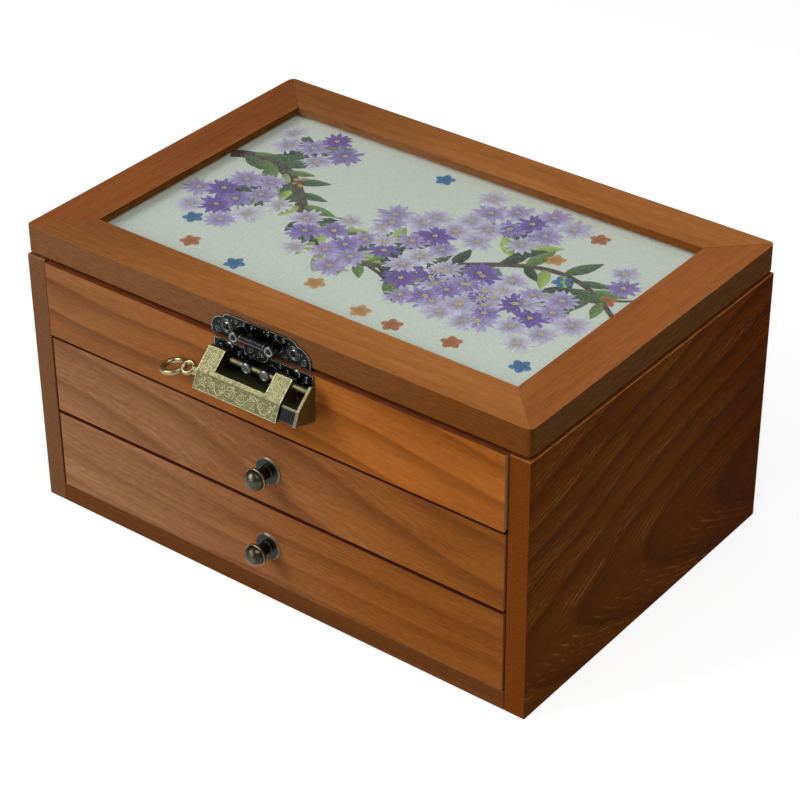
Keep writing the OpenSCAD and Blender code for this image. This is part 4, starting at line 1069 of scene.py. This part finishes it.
# cast relief on the hasp: rings round the nails, spirals and beads, mirrored about the middle of each flat
# face; x is counted from the middle and z from the floor, in mm, and each cut is a half width and a height
reliefCuts = {"ring": (0.32, 0.34), "spiral": (0.3, 0.3), "bead": (0.55, 0.4)}
reliefSpiral = {"begin": 1.2, "turns": 1.6}
reliefPlan = {
    "upperHaspRelief": {
        "body": "lid", "node": "upper_hasp_plate", "thick": 0.9, "middle": -0.6,
        "rings": [(20, 148.9, 3.4), (20, 148.9, 2.5)],
        "spirals": [
            (26.2, 145.6, 1.9), (14.2, 153.2, 1.4), (9.6, 153.4, 1.3), (5.0, 153.4, 1.3),
            (15.2, 145.0, 1.5),
        ],
        "beads": [(2.6, 153.6), (16.9, 152.6), (24.6, 149.4), (24.4, 144.2), (12.8, 144.2)],
    },
    "tongueRelief": {
        "body": "tongue", "node": "hasp_tongue", "thick": 1.0, "middle": -0.6, "rings": [],
        "spirals": [(3.6, 143.6, 2.0)], "beads": [(1.2, 141.2), (5.4, 146.2), (1.0, 145.6)],
    },
    "lowerHaspRelief": {
        "body": "case", "node": "lower_hasp_plate", "thick": 0.9, "middle": 2.4, "rings": [],
        "spirals": [(25.6, 138.6, 1.8), (14.6, 138.4, 1.6), (10.4, 140.2, 1.3)],
        "beads": [(23.2, 136.2), (12.6, 136.4)],
    },
}


def makeRelief(name, plan):
    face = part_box(plan["node"])[1][1] / mm - plan["thick"]
    around = np.linspace(0, 2 * np.pi, strandSteps)
    across = np.linspace(-0.98, 0.98, 9)
    strands = []

    def add(path, profile, cut):
        half, height = reliefCuts[cut]
        flat, out = raisedStrand(path, half * profile, height)
        points = np.stack([flat[..., 0], face - out, flat[..., 1]], -1)
        strands.append((points.reshape(-1, 3), gridFaces(len(path), strandColumns)))

    for handed in (-1, 1):
        for x, z, size in plan["rings"]:
            ring = np.array([plan["middle"] + handed * x, z]) + size * toward(around)
            add(ring, np.ones(strandSteps), "ring")
        for x, z, size in plan["spirals"]:
            path = spiral((plan["middle"] + handed * x, z), size, handed=handed, **reliefSpiral)
            add(path, np.linspace(1.0, 0.6, strandSteps), "spiral")
        for x, z in plan["beads"]:
            middle = plan["middle"] + handed * x
            path = np.stack([middle + reliefCuts["bead"][0] * across, np.full(len(across), z)], -1)
            add(path, np.sqrt(1 - across**2), "bead")
    # the relief takes the lighter metal, a painted highlight
    return makePiece(name, *joined(strands), metals["haspReliefHighlight"], plan["body"], "hasp_black")


for name, plan in reliefPlan.items():
    makeRelief(name, plan)
print("relief on the hasp")

# camera at the photo's angle, floor, soft lamps
cameraPlan = {
    "azimuth": 37.78, "elevation": 33.05, "roll": -0.38, "distance": 1.266,
    "target": (0.0005, 0.0004, 0.0633), "lens": 113.72, "sensor": 36.0,
}


def makeCamera(plan):
    a, e, r = (math.radians(plan[k]) for k in ("azimuth", "elevation", "roll"))
    back = np.array([math.sin(a) * math.cos(e), -math.cos(a) * math.cos(e), math.sin(e)])
    right = np.array([math.cos(a), math.sin(a), 0.0])
    up = np.cross(back, right)
    right, up = math.cos(r) * right + math.sin(r) * up, math.cos(r) * up - math.sin(r) * right
    matrix = np.eye(4)
    matrix[:3, 0], matrix[:3, 1], matrix[:3, 2] = right, up, back
    matrix[:3, 3] = np.array(plan["target"]) + back * plan["distance"]
    data = bpy.data.cameras.new("camera")
    data.sensor_width, data.lens = plan["sensor"], plan["lens"]
    camera = addObject("camera", data)
    camera.matrix_world = Matrix(matrix.tolist())
    scene.camera = camera


makeCamera(cameraPlan)

lampAim = Vector((0, 0, 0.07))
lampPlan = {
    "key": {"at": (-0.85, -1.0, 1.1), "size": 0.9, "power": 14.0},
    "front": {"at": (-0.4, -1.8, 0.7), "size": 1.2, "power": 7.0},
    "top": {"at": (0.5, -0.1, 1.2), "size": 0.8, "power": 6.5},
}
for name, plan in lampPlan.items():
    data = bpy.data.lights.new(name, "AREA")
    data.size, data.energy = plan["size"], plan["power"]
    lamp = addObject(name, data)
    lamp.location = plan["at"]
    lamp.rotation_euler = (lampAim - Vector(plan["at"])).to_track_quat("-Z", "Y").to_euler()

stagePlan = {"world": 0.2, "floor": 0.5, "glow": 0.7, "half": 6}
world = bpy.data.worlds.new("studio")
scene.world = world
world.use_nodes = True
sky = world.node_tree.nodes["Background"]
feed(world.node_tree, sky, {"Color": (1, 1, 1, 1), "Strength": stagePlan["world"]})


# pale floor: it glows for rays that look at it, and otherwise only takes light and shadow
def makeFloor(plan):
    material, tree, shader = newMaterial("paleFloor")[:3]
    rays = put(tree, "LightPath").outputs
    seen = calc(tree, "MAXIMUM", rays["Is Camera Ray"], rays["Is Glossy Ray"])
    seen = calc(tree, "MAXIMUM", seen, rays["Is Transmission Ray"])
    grey = (plan["floor"],) * 3 + (1,)
    feed(tree, shader, {"Base Color": grey, "Roughness": 0.9, "Specular IOR Level": 0.1})
    strength = times(tree, seen, plan["glow"])
    glow = put(tree, "Emission", {"Color": (1, 1, 1, 1), "Strength": strength}).outputs[0]
    both = put(tree, "AddShader", {0: shader.outputs[0], 1: glow}).outputs[0]
    tree.links.new(both, tree.nodes["Material Output"].inputs["Surface"])
    mesh = bpy.data.meshes.new("floor")
    half = plan["half"]
    corners = [(-half, -half, 0), (half, -half, 0), (half, half, 0), (-half, half, 0)]
    mesh.from_pydata(corners, [], [(0, 1, 2, 3)])
    mesh.materials.append(material)
    floor = addObject("floor", mesh)


makeFloor(stagePlan)
scene.view_settings.view_transform = "Standard"
print("camera, floor and lamps set")

bpy.context.view_layer.update()
